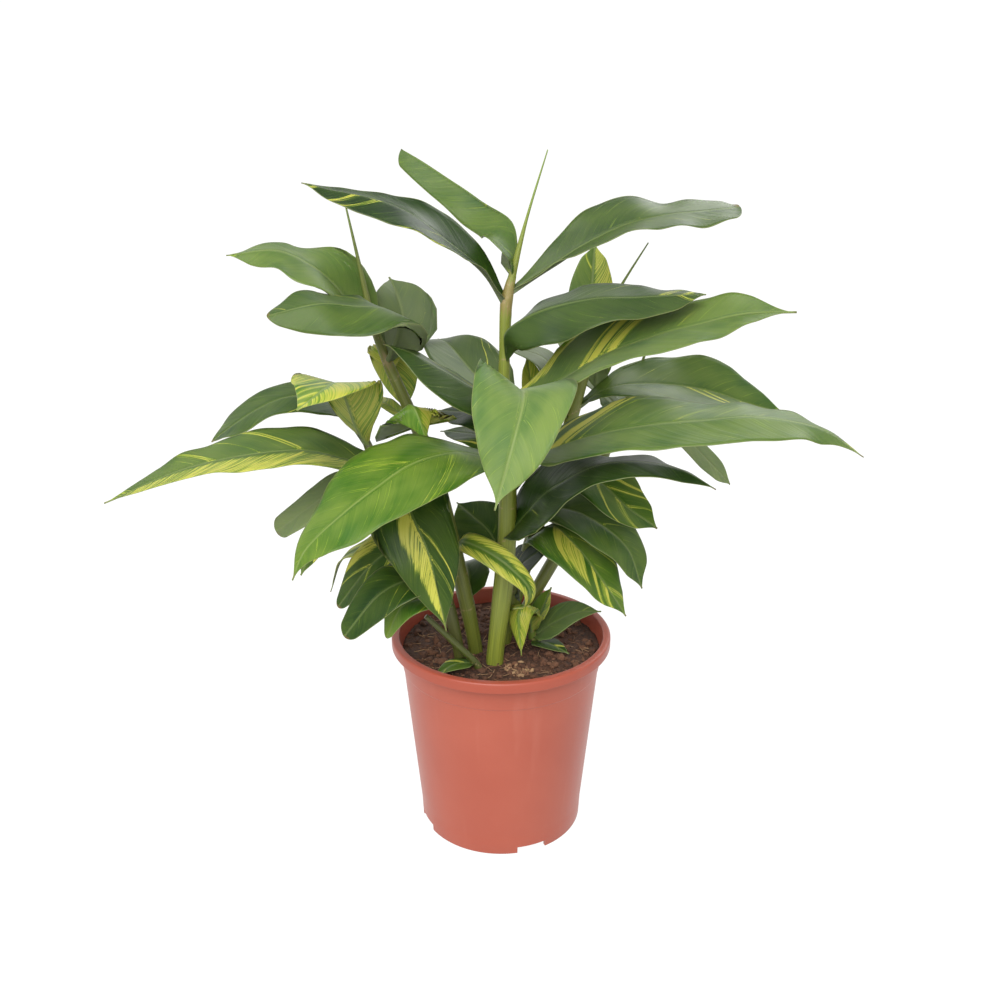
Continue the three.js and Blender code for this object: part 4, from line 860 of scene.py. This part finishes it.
# %% Leaf finish
# Each green is a pair: the colour of the darkest tone and of the lightest.
GREENS = {
    "light": (colour(0.014, 0.034, 0.004), colour(0.126, 0.202, 0.024)),
    "deep": (colour(0.004, 0.015, 0.002), colour(0.036, 0.116, 0.006)),
    "vein": (colour(0.045, 0.07, 0.018), colour(0.18, 0.25, 0.05)),
    "pale": (colour(0.055, 0.10, 0.008), colour(0.27, 0.37, 0.03)),
    "rib": (colour(0.09, 0.125, 0.035), colour(0.19, 0.25, 0.065)),
}
STRAW = (colour(0.31, 0.30, 0.022), colour(0.43, 0.42, 0.085))
LEAF_EDGE = colour(0.24, 0.26, 0.09)
DRY_TIP = colour(0.13, 0.08, 0.03)
# The lower face's own dull grey-green, also mixed into some upper faces as a painted sheen.
UNDERSIDE_AND_SHEEN_GREY = colour(0.15, 0.17, 0.095)


def leaf_finish():
    leaf = Finish("ginger_leaf")
    vein, run, seed = leaf.field("place")
    across, margin, under = leaf.field("shape")
    tone, yellow, tip = leaf.field("look")
    broad = leaf.noise(leaf.vector(vein * 0.05, run * 0.006, seed), detail=2)
    band = leaf.noise(leaf.vector(vein * 0.13, run * 0.008, seed + 9), detail=2)
    streak = leaf.noise(leaf.vector(vein * 0.4, run * 0.016, seed + 3), detail=2, roughness=0.6)
    hair = leaf.noise(leaf.vector(vein * 1.4, run * 0.02, seed + 6), detail=2, roughness=0.6)
    blotch = leaf.noise(leaf.vector(run * 0.02, across * 0.04, seed), detail=2)
    speck = leaf.noise(leaf.vector(vein * 1.8, run * 0.12, seed + 12), detail=1)

    score = (yellow * 1.25 + (broad - 0.5) * 0.6 + (streak - 0.5) * 2.2 + (hair - 0.5) * 1.8
             + (speck - 0.5) * 0.7 - 0.76)
    lost_all = score.step(-0.05, 0.1)
    lost_half = score.step(-0.36, -0.12)
    greens = {name: leaf.mix(tone, *pair) for name, pair in GREENS.items()}
    shift = (band - 0.5) * 1.0 + (streak - 0.5) * 0.8 + (hair - 0.5) * 0.9 + (blotch - 0.5) * 3
    green = leaf.mix(shift + 0.4, greens["light"], greens["deep"])
    lines = ((hair - 0.5) * 1.5 + (streak - 0.5) * 0.8).step(0, 0.35)
    green = leaf.mix(lines * 0.26, green, greens["vein"])
    face = leaf.mix(lost_half * 0.75, green, greens["pale"])
    face = leaf.mix(lost_all, face, leaf.mix(hair, *STRAW))
    rib = 1 - across.step(0.35, RIB_HALF_WIDTH)
    face = leaf.mix(rib * 0.6, face, greens["rib"])
    edge = 1 - margin.step(0.15, 0.6)
    face = leaf.mix(edge * 0.5, face, LEAF_EDGE)
    brown = (tip + (broad - 0.5) * 1.2 - 0.9).step(0, 0.15)
    face = leaf.mix(brown * 0.7, face, DRY_TIP)
    # Toward grey: the lower face's own colour, and on the upper face a painted sheen, by the leaf's third
    # number.
    face = leaf.mix(under, face, leaf.mix(0.6 - yellow * 0.6, face, UNDERSIDE_AND_SHEEN_GREY))

    normal = leaf.bump(band * 0.75 + streak * 0.25 + hair * 0.12, 0.0011, 0.4)
    gloss = under * 0.16 + 0.36 + (blotch - 0.5) * 0.14
    return leaf.done(
        Base_Color=face, Roughness=gloss, Normal=normal, IOR=1.4, Specular_IOR_Level=0.24,
        Subsurface_Weight=0.15, Subsurface_Radius=(0.5, 1.0, 0.15), Subsurface_Scale=0.0012)


ginger_leaf = leaf_finish()
print("leaf finish:", len(ginger_leaf.node_tree.nodes), "nodes")

# %% [markdown]
# ## One piece for each leaf
# Leaves are picked, turned and lost one at a time, so each stays a piece of its own and takes the
# place of its solid. The small leaves of the two shoots are made later, beside their stems.

# %% Leaves
SHOOTS = {"f": "shoot_right", "g": "shoot_left"}
leaf_triangles = 0
for name, leaf in LEAVES.items():
    if leaf["cane"] in SHOOTS:
        continue
    made = piece(name + "_blade", [blade(name)], ginger_leaf, [name])
    leaf_triangles += 2 * len(made.data.polygons)
print("leaf triangles:", leaf_triangles)

# %% [markdown]
# ## Canes
# A ginger's cane is no stem: it is a tight roll of leaf sheaths, and each sheath ends in a slanting
# edge just under its leaf. A tube whose radius steps down at each of those edges shows that. The
# edge is higher on the side of its leaf. Lengthwise fibres and a pink-brown flush near the upper sheaths
# come from the finish, and so does a painted shade that darkens every cane but the tallest, as these
# stand in the shade of the leaves.

# %% Cane numbers
CANE_SIDES = 28
CANE_RING_GAP = 2.5
CANE_UNEVENNESS = 0.22
SHEATH_STEP = 0.3
SHEATH_FADE = 28
SHEATH_SLANT = 5
AROUND = 9
# How much of the radius is lost between two heights: toward the top, and toward the soil.
SLIMMER = [(0.14, 400, 480), (0.15, 260, 200)]
FLUSH_EDGE = 25
# Painted shade: how far each cane's colour is darkened, for the canes that stand in the leaves' shade.
PAINTED_CANE_SHADE = {"b": 0.35, "c": 0.6, "d": 0.55, "e": 1.2, "f": 0.4, "g": 1.2}
FLUSH = {"a": (490, 545), "b": (430, 475), "d": (440, 480)}

# %% Cane shape
def cane(name):
    line = cane_line(name)
    rings = int(even_points(line, 2)[1] / CANE_RING_GAP)
    line, length = even_points(line, rings + 1)
    middle, radius = line[:, :3], line[:, 3]
    forward = unit(np.gradient(middle, axis=0))
    across = unit(np.array([1, 0, 0]) - forward * forward[:, :1])
    third = np.cross(forward, across)
    turn = np.linspace(0, 2 * np.pi, CANE_SIDES, endpoint=False)
    spoke = (across[:, None, :] * np.cos(turn)[None, :, None]
             + third[:, None, :] * np.sin(turn)[None, :, None])
    height = middle[:, 2][:, None] + 0 * turn
    lost = sum(share * smooth_step(height, low, high) for share, low, high in SLIMMER)
    grown = radius[:, None] * (1 - lost)
    edge_line = np.zeros_like(height)
    for leaf in LEAVES.values():
        if leaf["cane"] != name:
            continue
        root = at_height(line, leaf["height"])
        toward = unit((np.array(leaf["rib"][0]) - root) * [1, 1, 0.001])
        rim = leaf["height"] + SHEATH_SLANT * (spoke @ toward) - 1
        under = rim - height
        fading = np.exp(-np.maximum(under, 0) / SHEATH_FADE)
        grown += SHEATH_STEP * smooth_step(under, -0.8, 1.2) * fading
        edge_line = np.maximum(edge_line, np.exp(-((under - 0.6) / 1.4) ** 2))
    seed = "abcdefg".index(name)
    grown += CANE_UNEVENNESS * lattice_noise(turn * AROUND, height * 0.02, 6, seed)
    points = middle[:, None, :] + spoke * grown[..., None]
    low, high = FLUSH.get(name, (0, 1))
    flush = smooth_step(height, low, low + FLUSH_EDGE)
    flush = flush * (1 - smooth_step(height, high - FLUSH_EDGE, high))
    young = smooth_step(height, middle[-1, 2] - 90, middle[-1, 2] - 20)
    run = np.linspace(0, length, rings + 1)[:, None]
    fields = {
        "place": triple(turn * AROUND, run, seed * 5.1),
        "shape": triple(edge_line, 0, 0),
        "look": triple(flush, young, PAINTED_CANE_SHADE.get(name, 0)),
    }
    count = points.shape[0] * points.shape[1]
    caps = [[list(range(CANE_SIDES))[::-1]], [list(range(count - CANE_SIDES, count))]]
    return {"points": points, "faces": [grid_faces(rings + 1, CANE_SIDES, wrap=True), *caps],
            "fields": fields}

# %% Cane finish and pieces
def cane_finish():
    stem = Finish("cane_sheath")
    around, run, seed = stem.field("place")
    edge_line, _, _ = stem.field("shape")
    flush, young, painted_shade = stem.field("look")
    fibre = stem.noise(stem.vector(around * 1.6, run * 0.012, seed), detail=3)
    cloud = stem.noise(stem.vector(around * 0.25, run * 0.03, seed + 2), detail=2)
    base = stem.mix((fibre - 0.5) * 2.2 + 0.5, colour(0.085, 0.112, 0.009), colour(0.23, 0.258, 0.032))
    base = stem.mix(young * 0.7, base, colour(0.14, 0.22, 0.03))
    # Painted shade: the shaded canes are mixed toward a near-black green.
    base = stem.mix(painted_shade * 0.7, base, colour(0.045, 0.048, 0.010))
    pink = (flush + (cloud - 0.5) * 1.6 - 0.35).step(0, 0.5)
    base = stem.mix(pink * 0.5, base, colour(0.25, 0.145, 0.07))
    dry = (edge_line + (fibre - 0.5) * 0.8).step(0.5, 0.95)
    base = stem.mix(dry * 0.7, base, colour(0.27, 0.20, 0.09))
    normal = stem.bump(fibre, 0.0008, 0.5)
    return stem.done(Base_Color=base, Roughness=0.42 + (cloud - 0.5) * 0.15, Normal=normal,
                     Subsurface_Weight=0.1, Subsurface_Radius=(0.5, 1.0, 0.15), Subsurface_Scale=0.002)


cane_sheath = cane_finish()
for name in CANES:
    if name in SHOOTS:
        continue
    piece(f"cane_{name}_sheaths", [cane(name)], cane_sheath, [f"cane_{name}"])
for name, node in SHOOTS.items():
    own = [blade(leaf) for leaf in LEAVES if LEAVES[leaf]["cane"] == name]
    piece(f"{node}_leaves", own, ginger_leaf)
    piece(f"{node}_stem", [cane(name)], cane_sheath, [node])
print("canes:", len(CANES))

# %% [markdown]
# ## The pot
# The pot is injection-moulded: a thin wall with a rolled lip and a short skirt below it, a faint step
# line lower down, and a foot ring with notches that let water out. Its cross-section turned about the
# middle gives all of it but the notches and drain holes, which a Boolean cuts once and for all.

# %% Pot shape
POT_HEIGHT = 198
RIM_RADIUS = 105
LIP_DROP = 10
WALL = 1.8
BODY_TOP_RADIUS = 97
BODY_FOOT_RADIUS = 80
BODY_FOOT_HEIGHT = 20
STEP_HEIGHT = 166
FOOT_RADIUS = 79
FOOT_WIDTH = 4
FLOOR_UNDERSIDE = 6
FLOOR_TOP = 8
PAD_RADIUS = 12
NOTCHES, NOTCH_WIDTH, NOTCH_HEIGHT, NOTCH_TURN = 4, 29, 7, 22
NOTCH_OUTSIDE, NOTCH_INSIDE = 25, 19
DRAINS, DRAIN_RADIUS, DRAIN_RING, DRAIN_SIDES = 6, 5, 48, 24
POT_SIDES = 160


def body_radius(height):
    share = (height - BODY_FOOT_HEIGHT) / (POT_HEIGHT - LIP_DROP - BODY_FOOT_HEIGHT)
    return BODY_FOOT_RADIUS + (BODY_TOP_RADIUS - BODY_FOOT_RADIUS) * share


def rounded(corner, before, after, radius, count=5):
    """Points that round a corner of a profile between its two neighbours."""
    corner, before, after = (np.array(p, float) for p in (corner, before, after))
    start = corner + unit(before - corner) * radius
    end = corner + unit(after - corner) * radius
    w = np.linspace(0, 1, count)[:, None]
    return (start * (1 - w)**2 + 2 * corner * w * (1 - w) + end * w**2).tolist()


def pot_profile():
    top, skirt = POT_HEIGHT, POT_HEIGHT - LIP_DROP
    corners = [
        (0, FLOOR_TOP, 0), (BODY_FOOT_RADIUS - 7, FLOOR_TOP, 4), (BODY_FOOT_RADIUS - 3, FLOOR_TOP + 8, 3),
        (BODY_TOP_RADIUS - WALL, skirt, 2), (BODY_TOP_RADIUS + 0.9, top, 1.4),
        (RIM_RADIUS, top, 2.6), (RIM_RADIUS, skirt, 0.7), (RIM_RADIUS - WALL, skirt, 0.7),
        (RIM_RADIUS - WALL, top - 3, 1), (BODY_TOP_RADIUS + 1.2, top - 3, 1),
        (BODY_TOP_RADIUS, skirt, 0.8), (body_radius(STEP_HEIGHT), STEP_HEIGHT, 0.3),
        (body_radius(STEP_HEIGHT) - 0.7, STEP_HEIGHT - 1, 0.3), (BODY_FOOT_RADIUS, BODY_FOOT_HEIGHT, 3),
        (FOOT_RADIUS, 0, 1.2), (FOOT_RADIUS - FOOT_WIDTH, 0, 0.8),
        (FOOT_RADIUS - FOOT_WIDTH, FLOOR_UNDERSIDE, 0.8), (PAD_RADIUS, FLOOR_UNDERSIDE, 0.8),
        (PAD_RADIUS, 0, 0.6), (0, 0, 0),
    ]
    profile = [corners[0][:2]]
    for before, (r, z, bend), after in zip(corners, corners[1:-1], corners[2:]):
        profile += rounded((r, z), before[:2], after[:2], bend)
    profile.append(corners[-1][:2])
    return np.array(profile)


def long_edges_split(profile, longest=8):
    """Adds points on the long straight stretches, so that smooth shading stays even."""
    out = [profile[0]]
    for a, b in zip(profile, profile[1:]):
        pieces = max(1, int(np.linalg.norm(b - a) / longest))
        out += [a + (b - a) * k / pieces for k in range(1, pieces + 1)]
    return np.array(out)

# %% Cutters
def prism(outline, degrees, low, high):
    """A closed solid over an outline that runs anticlockwise, turned about the pot's axis."""
    cos, sin = math.cos(math.radians(degrees)), math.sin(math.radians(degrees))
    points = [(x * cos - y * sin, x * sin + y * cos, z) for z in (low, high) for x, y in outline]
    count = len(outline)
    faces = [list(range(count))[::-1], list(range(count, 2 * count))]
    faces += [[i, (i + 1) % count, count + (i + 1) % count, count + i] for i in range(count)]
    return points, faces


def cutters():
    """Boxes for the foot's notches and rods for the drain holes, as one mesh."""
    half, outside, inside = NOTCH_WIDTH / 2, -FOOT_RADIUS - NOTCH_OUTSIDE, -FOOT_RADIUS + NOTCH_INSIDE
    box = [(-half, outside), (half, outside), (half, inside), (-half, inside)]
    rod = [(DRAIN_RING + DRAIN_RADIUS * math.cos(a), DRAIN_RADIUS * math.sin(a))
           for a in np.linspace(0, 2 * np.pi, DRAIN_SIDES, endpoint=False)]
    solids = [prism(box, NOTCH_TURN + 360 / NOTCHES * k, -1, NOTCH_HEIGHT) for k in range(NOTCHES)]
    solids += [prism(rod, 360 / DRAINS * k, FLOOR_UNDERSIDE - 4, FLOOR_TOP + 4) for k in range(DRAINS)]
    points, faces = [], []
    for own_points, own_faces in solids:
        faces += [[i + len(points) for i in face] for face in own_faces]
        points += own_points
    return points, faces


print("cutters:", NOTCHES, "notches and", DRAINS, "drain holes")
# %% Pot finish
def pot_finish():
    """Terracotta-coloured polypropylene: satin, with faint flow marks and a redder lip."""
    plastic = Finish("terracotta_plastic")
    place = plastic.node("ShaderNodeTexCoord", {}, {}, "Object")
    height = plastic.node("ShaderNodeSeparateXYZ", {}, {0: place}, 2)
    flow = plastic.noise(plastic.node("ShaderNodeMapping", {}, {"Vector": place, "Scale": (60, 60, 5)}),
                         detail=3)
    cloud = plastic.noise(place, scale=14, detail=3)
    grain = plastic.noise(place, scale=1400, detail=2)
    base = plastic.mix((cloud - 0.5) * 1.6 + 0.5, colour(0.29, 0.060, 0.034), colour(0.33, 0.078, 0.046))
    base = plastic.mix(flow.step(0.55, 0.75) * 0.25, base, colour(0.37, 0.115, 0.077))
    base = plastic.mix(height.step(0.1855, 0.1875) * 0.4, base, colour(0.24, 0.040, 0.020))
    normal = plastic.bump(flow * 0.5 + grain * 0.4, 0.00025, 0.5)
    gloss = 0.36 + (cloud - 0.5) * 0.14 + (flow - 0.5) * 0.1
    return plastic.done(Base_Color=base, Roughness=gloss, Normal=normal, IOR=1.4,
                        Subsurface_Weight=0.05, Subsurface_Radius=(1, 0.3, 0.15), Subsurface_Scale=0.003)


# %% [markdown]
# ## Turning and cutting the pot
# The profile is turned into rings of quads, and two fans close it on the axis, above and below. The
# cutters are taken away by a Boolean modifier. Its result becomes the piece's own mesh, so nothing is
# left to work out again, and only the pot's sharp edges are shaded as edges.

# %% Pot
EDGE_ANGLE = 40
terracotta = pot_finish()
profile = long_edges_split(pot_profile())
turn = np.linspace(0, 2 * np.pi, POT_SIDES, endpoint=False)
ring = np.stack([np.cos(turn), np.sin(turn), 0 * turn], -1)
inner = profile[1:-1]
wall_points = inner[:, None, :1] * ring[None] + inner[:, None, 1:] * np.array([0, 0, 1])
count = wall_points.shape[0] * POT_SIDES
ends = np.array([[0, 0, profile[0][1]], [0, 0, profile[-1][1]]])
fans = [[[count, i, (i + 1) % POT_SIDES] for i in range(POT_SIDES)],
        [[count + 1, count - POT_SIDES + (i + 1) % POT_SIDES, count - POT_SIDES + i]
         for i in range(POT_SIDES)]]
pot_part = {"points": np.concatenate([wall_points.reshape(-1, 3), ends]),
            "faces": [grid_faces(len(inner), POT_SIDES, wrap=True, flip=True), *fans]}
pot = piece("pot_shell", [pot_part], terracotta, ["pot"], smooth=False)
cut_points, cut_faces = cutters()
cut_mesh = bpy.data.meshes.new("cuts")
cut_mesh.from_pydata([tuple(v * MM for v in p) for p in cut_points], [], cut_faces)
cut = bpy.data.objects.new("cuts", cut_mesh)
scene.collection.objects.link(cut)
boolean = pot.modifiers.new("cuts", "BOOLEAN")
boolean.object = cut
boolean.solver = "EXACT"
bpy.context.view_layer.update()
whole = bpy.data.meshes.new_from_object(pot.evaluated_get(bpy.context.evaluated_depsgraph_get()))
pot.modifiers.clear()
pot.data = whole
whole.shade_smooth()
whole.set_sharp_from_angle(angle=math.radians(EDGE_ANGLE))
bpy.data.objects.remove(cut)
print("pot faces:", len(whole.polygons))

# %% [markdown]
# ## The soil
# The soil is moist peat: a slightly uneven bed, crumbs of every size lying on it, and pale fibres.
# The bed is a round grid lifted by noise at three sizes. The crumbs and fibres are real small meshes,
# scattered by a seeded draw and sunk a little into the bed, because crumbs painted on a smooth bed
# look flat at the rim of the pot, where the view is low. One clump of drier, tan peat lies in front.

# %% Soil numbers and bed
SOIL_HEIGHT = 184
SOIL_RINGS = 80
SOIL_SIDES = 200
CRUMBS = 850
FIBRES = 170
CLUMP_CRUMBS = 70
CLUMP_PLACE = (17, -52)
CLUMP_RADIUS = 13
CRUMB_REACH = 93
RIM_ZONE, RIM_LIMIT = 91, 93.5
FIBRE_REACH = 86
FIBRE_POINTS = 10


def soil_level(x, y):
    broad = 1.5 * lattice_noise(x, y, 26, 1) + 0.9 * lattice_noise(x, y, 9, 2)
    return SOIL_HEIGHT + broad + 0.8 * lattice_noise(x, y, 3.2, 3) - 0.2


def soil_bed():
    side = body_radius(SOIL_HEIGHT) - WALL - 0.4
    radius = np.linspace(0.5, side, SOIL_RINGS)
    turn = np.linspace(0, 2 * np.pi, SOIL_SIDES, endpoint=False)
    x, y = np.outer(radius, np.cos(turn)), np.outer(radius, np.sin(turn))
    top = np.stack([x, y, soil_level(x, y)], -1)
    low = [(body_radius(120) - WALL - 0.6, 120), (BODY_FOOT_RADIUS - WALL - 2.5, 18),
           (BODY_FOOT_RADIUS - 9, 8.4), (0.5, 8.4)]
    skirt = np.array([[(r * math.cos(a), r * math.sin(a), z) for a in turn] for r, z in low])
    points = np.concatenate([top, skirt])
    count = points.shape[0] * SOIL_SIDES
    caps = [[list(range(SOIL_SIDES))[::-1]], [list(range(count - SOIL_SIDES, count))]]
    return {"points": points[:, ::-1], "faces": [grid_faces(points.shape[0], SOIL_SIDES, wrap=True), *caps]}

# %% Crumbs
def ball(detail):
    """The points and faces of a round ball, from an octahedron split a few times."""
    points = [(1, 0, 0), (-1, 0, 0), (0, 1, 0), (0, -1, 0), (0, 0, 1), (0, 0, -1)]
    faces = [(0, 2, 4), (2, 1, 4), (1, 3, 4), (3, 0, 4), (2, 0, 5), (1, 2, 5), (3, 1, 5), (0, 3, 5)]
    points = [np.array(p, float) for p in points]
    for _ in range(detail):
        middles, split = {}, []

        def middle(a, b):
            key = (min(a, b), max(a, b))
            if key not in middles:
                middles[key] = len(points)
                points.append(unit(points[a] + points[b]))
            return middles[key]

        for a, b, c in faces:
            ab, bc, ca = middle(a, b), middle(b, c), middle(c, a)
            split += [(a, ab, ca), (b, bc, ab), (c, ca, bc), (ab, bc, ca)]
        faces = split
    return np.array(points), faces


def crumbs():
    draw = np.random.default_rng(11)
    shape, faces = ball(2)
    parts = []
    for number in range(CRUMBS + CLUMP_CRUMBS):
        size = 0.7 + 4 * draw.random() ** 3
        away = CRUMB_REACH * math.sqrt(draw.random())
        angle = draw.uniform(0, 2 * math.pi)
        x, y = away * math.cos(angle), away * math.sin(angle)
        clump = number >= CRUMBS
        if clump:
            x, y = np.array(CLUMP_PLACE) + np.array([x, y]) * CLUMP_RADIUS / CRUMB_REACH
            away, size = math.hypot(x, y), 0.8 + size / 2
        size = min(size, RIM_LIMIT - away) if away > RIM_ZONE else size
        stretch = draw.uniform(0.6, 1.3, 3) * [1, 1, 0.8]
        push = 1 + 0.28 * np.sin(shape @ draw.uniform(-4, 4, (3, 3))).sum(1, keepdims=True) / 1.7
        points = shape * push * stretch * max(size, 0.5)
        centre = np.array([x, y, soil_level(x, y) + 0.2 * size])
        shade = np.full_like(points, draw.random() + 0.9 * clump)
        parts.append({"points": points + centre, "faces": [faces], "fields": {"look": shade}})
    return parts

# %% Fibres
def fibres():
    draw = np.random.default_rng(5)
    parts = []
    for _ in range(FIBRES):
        away = FIBRE_REACH * math.sqrt(draw.random())
        angle, heading = draw.uniform(0, 2 * math.pi, 2)
        span = draw.uniform(6, 22)
        w = np.linspace(-0.5, 0.5, FIBRE_POINTS)
        bend = draw.uniform(-0.5, 0.5)
        x = away * math.cos(angle) + span * (w * math.cos(heading) - bend * w**2 * math.sin(heading))
        y = away * math.sin(angle) + span * (w * math.sin(heading) + bend * w**2 * math.cos(heading))
        z = soil_level(x, y) + 0.5 + draw.uniform(0, 1.6) * (1 - (2 * w) ** 2)
        line = np.stack([x, y, z], -1)
        thick = draw.uniform(0.16, 0.42) * (1.05 - (2 * w) ** 4)[:, None, None]
        flat = unit(np.cross(np.gradient(line, axis=0), [0, 0, 1]))[:, None, :]
        corners = np.radians([0, 90, 180, 270])[None, :, None]
        points = line[:, None, :] + thick * (flat * np.cos(corners) + np.array([0, 0, 1]) * np.sin(corners))
        shade = np.full_like(points, 1.2 + 0.6 * draw.random())
        sides = grid_faces(FIBRE_POINTS, 4, wrap=True, flip=True)
        ends = [[[0, 1, 2, 3]], [[4 * FIBRE_POINTS - k for k in (1, 2, 3, 4)]]]
        parts.append({"points": points, "faces": [sides, *ends], "fields": {"look": shade}})
    return parts

# %% Peat finish and pieces
def peat_finish(name, dark, light, loose):
    peat = Finish(name)
    place = peat.node("ShaderNodeTexCoord", {}, {}, "Object")
    crumb = peat.noise(place, scale=420, detail=4, roughness=0.7)
    patch = peat.noise(place, scale=45, detail=3)
    base = peat.mix((crumb - 0.5) * 2 + patch * 0.9, dark, light)
    if loose:
        shade, _, _ = peat.field("look")
        base = peat.mix(shade * 0.45, base, colour(0.22, 0.10, 0.050))
        base = peat.mix(shade.step(1.1, 1.7), base, colour(0.36, 0.22, 0.11))
    normal = peat.bump(crumb, 0.0022, 0.8)
    return peat.done(Base_Color=base, Roughness=0.86, Normal=normal)


moist_peat = peat_finish("moist_peat", colour(0.010, 0.004, 0.002), colour(0.11, 0.042, 0.018), False)
loose_peat = peat_finish("loose_peat", colour(0.012, 0.005, 0.003), colour(0.12, 0.046, 0.020), True)
piece("soil_bed", [soil_bed()], moist_peat, ["soil"])
scatter = piece("soil_crumbs", crumbs() + fibres(), loose_peat)
print("crumb triangles:", sum(len(p.vertices) - 2 for p in scatter.data.polygons))
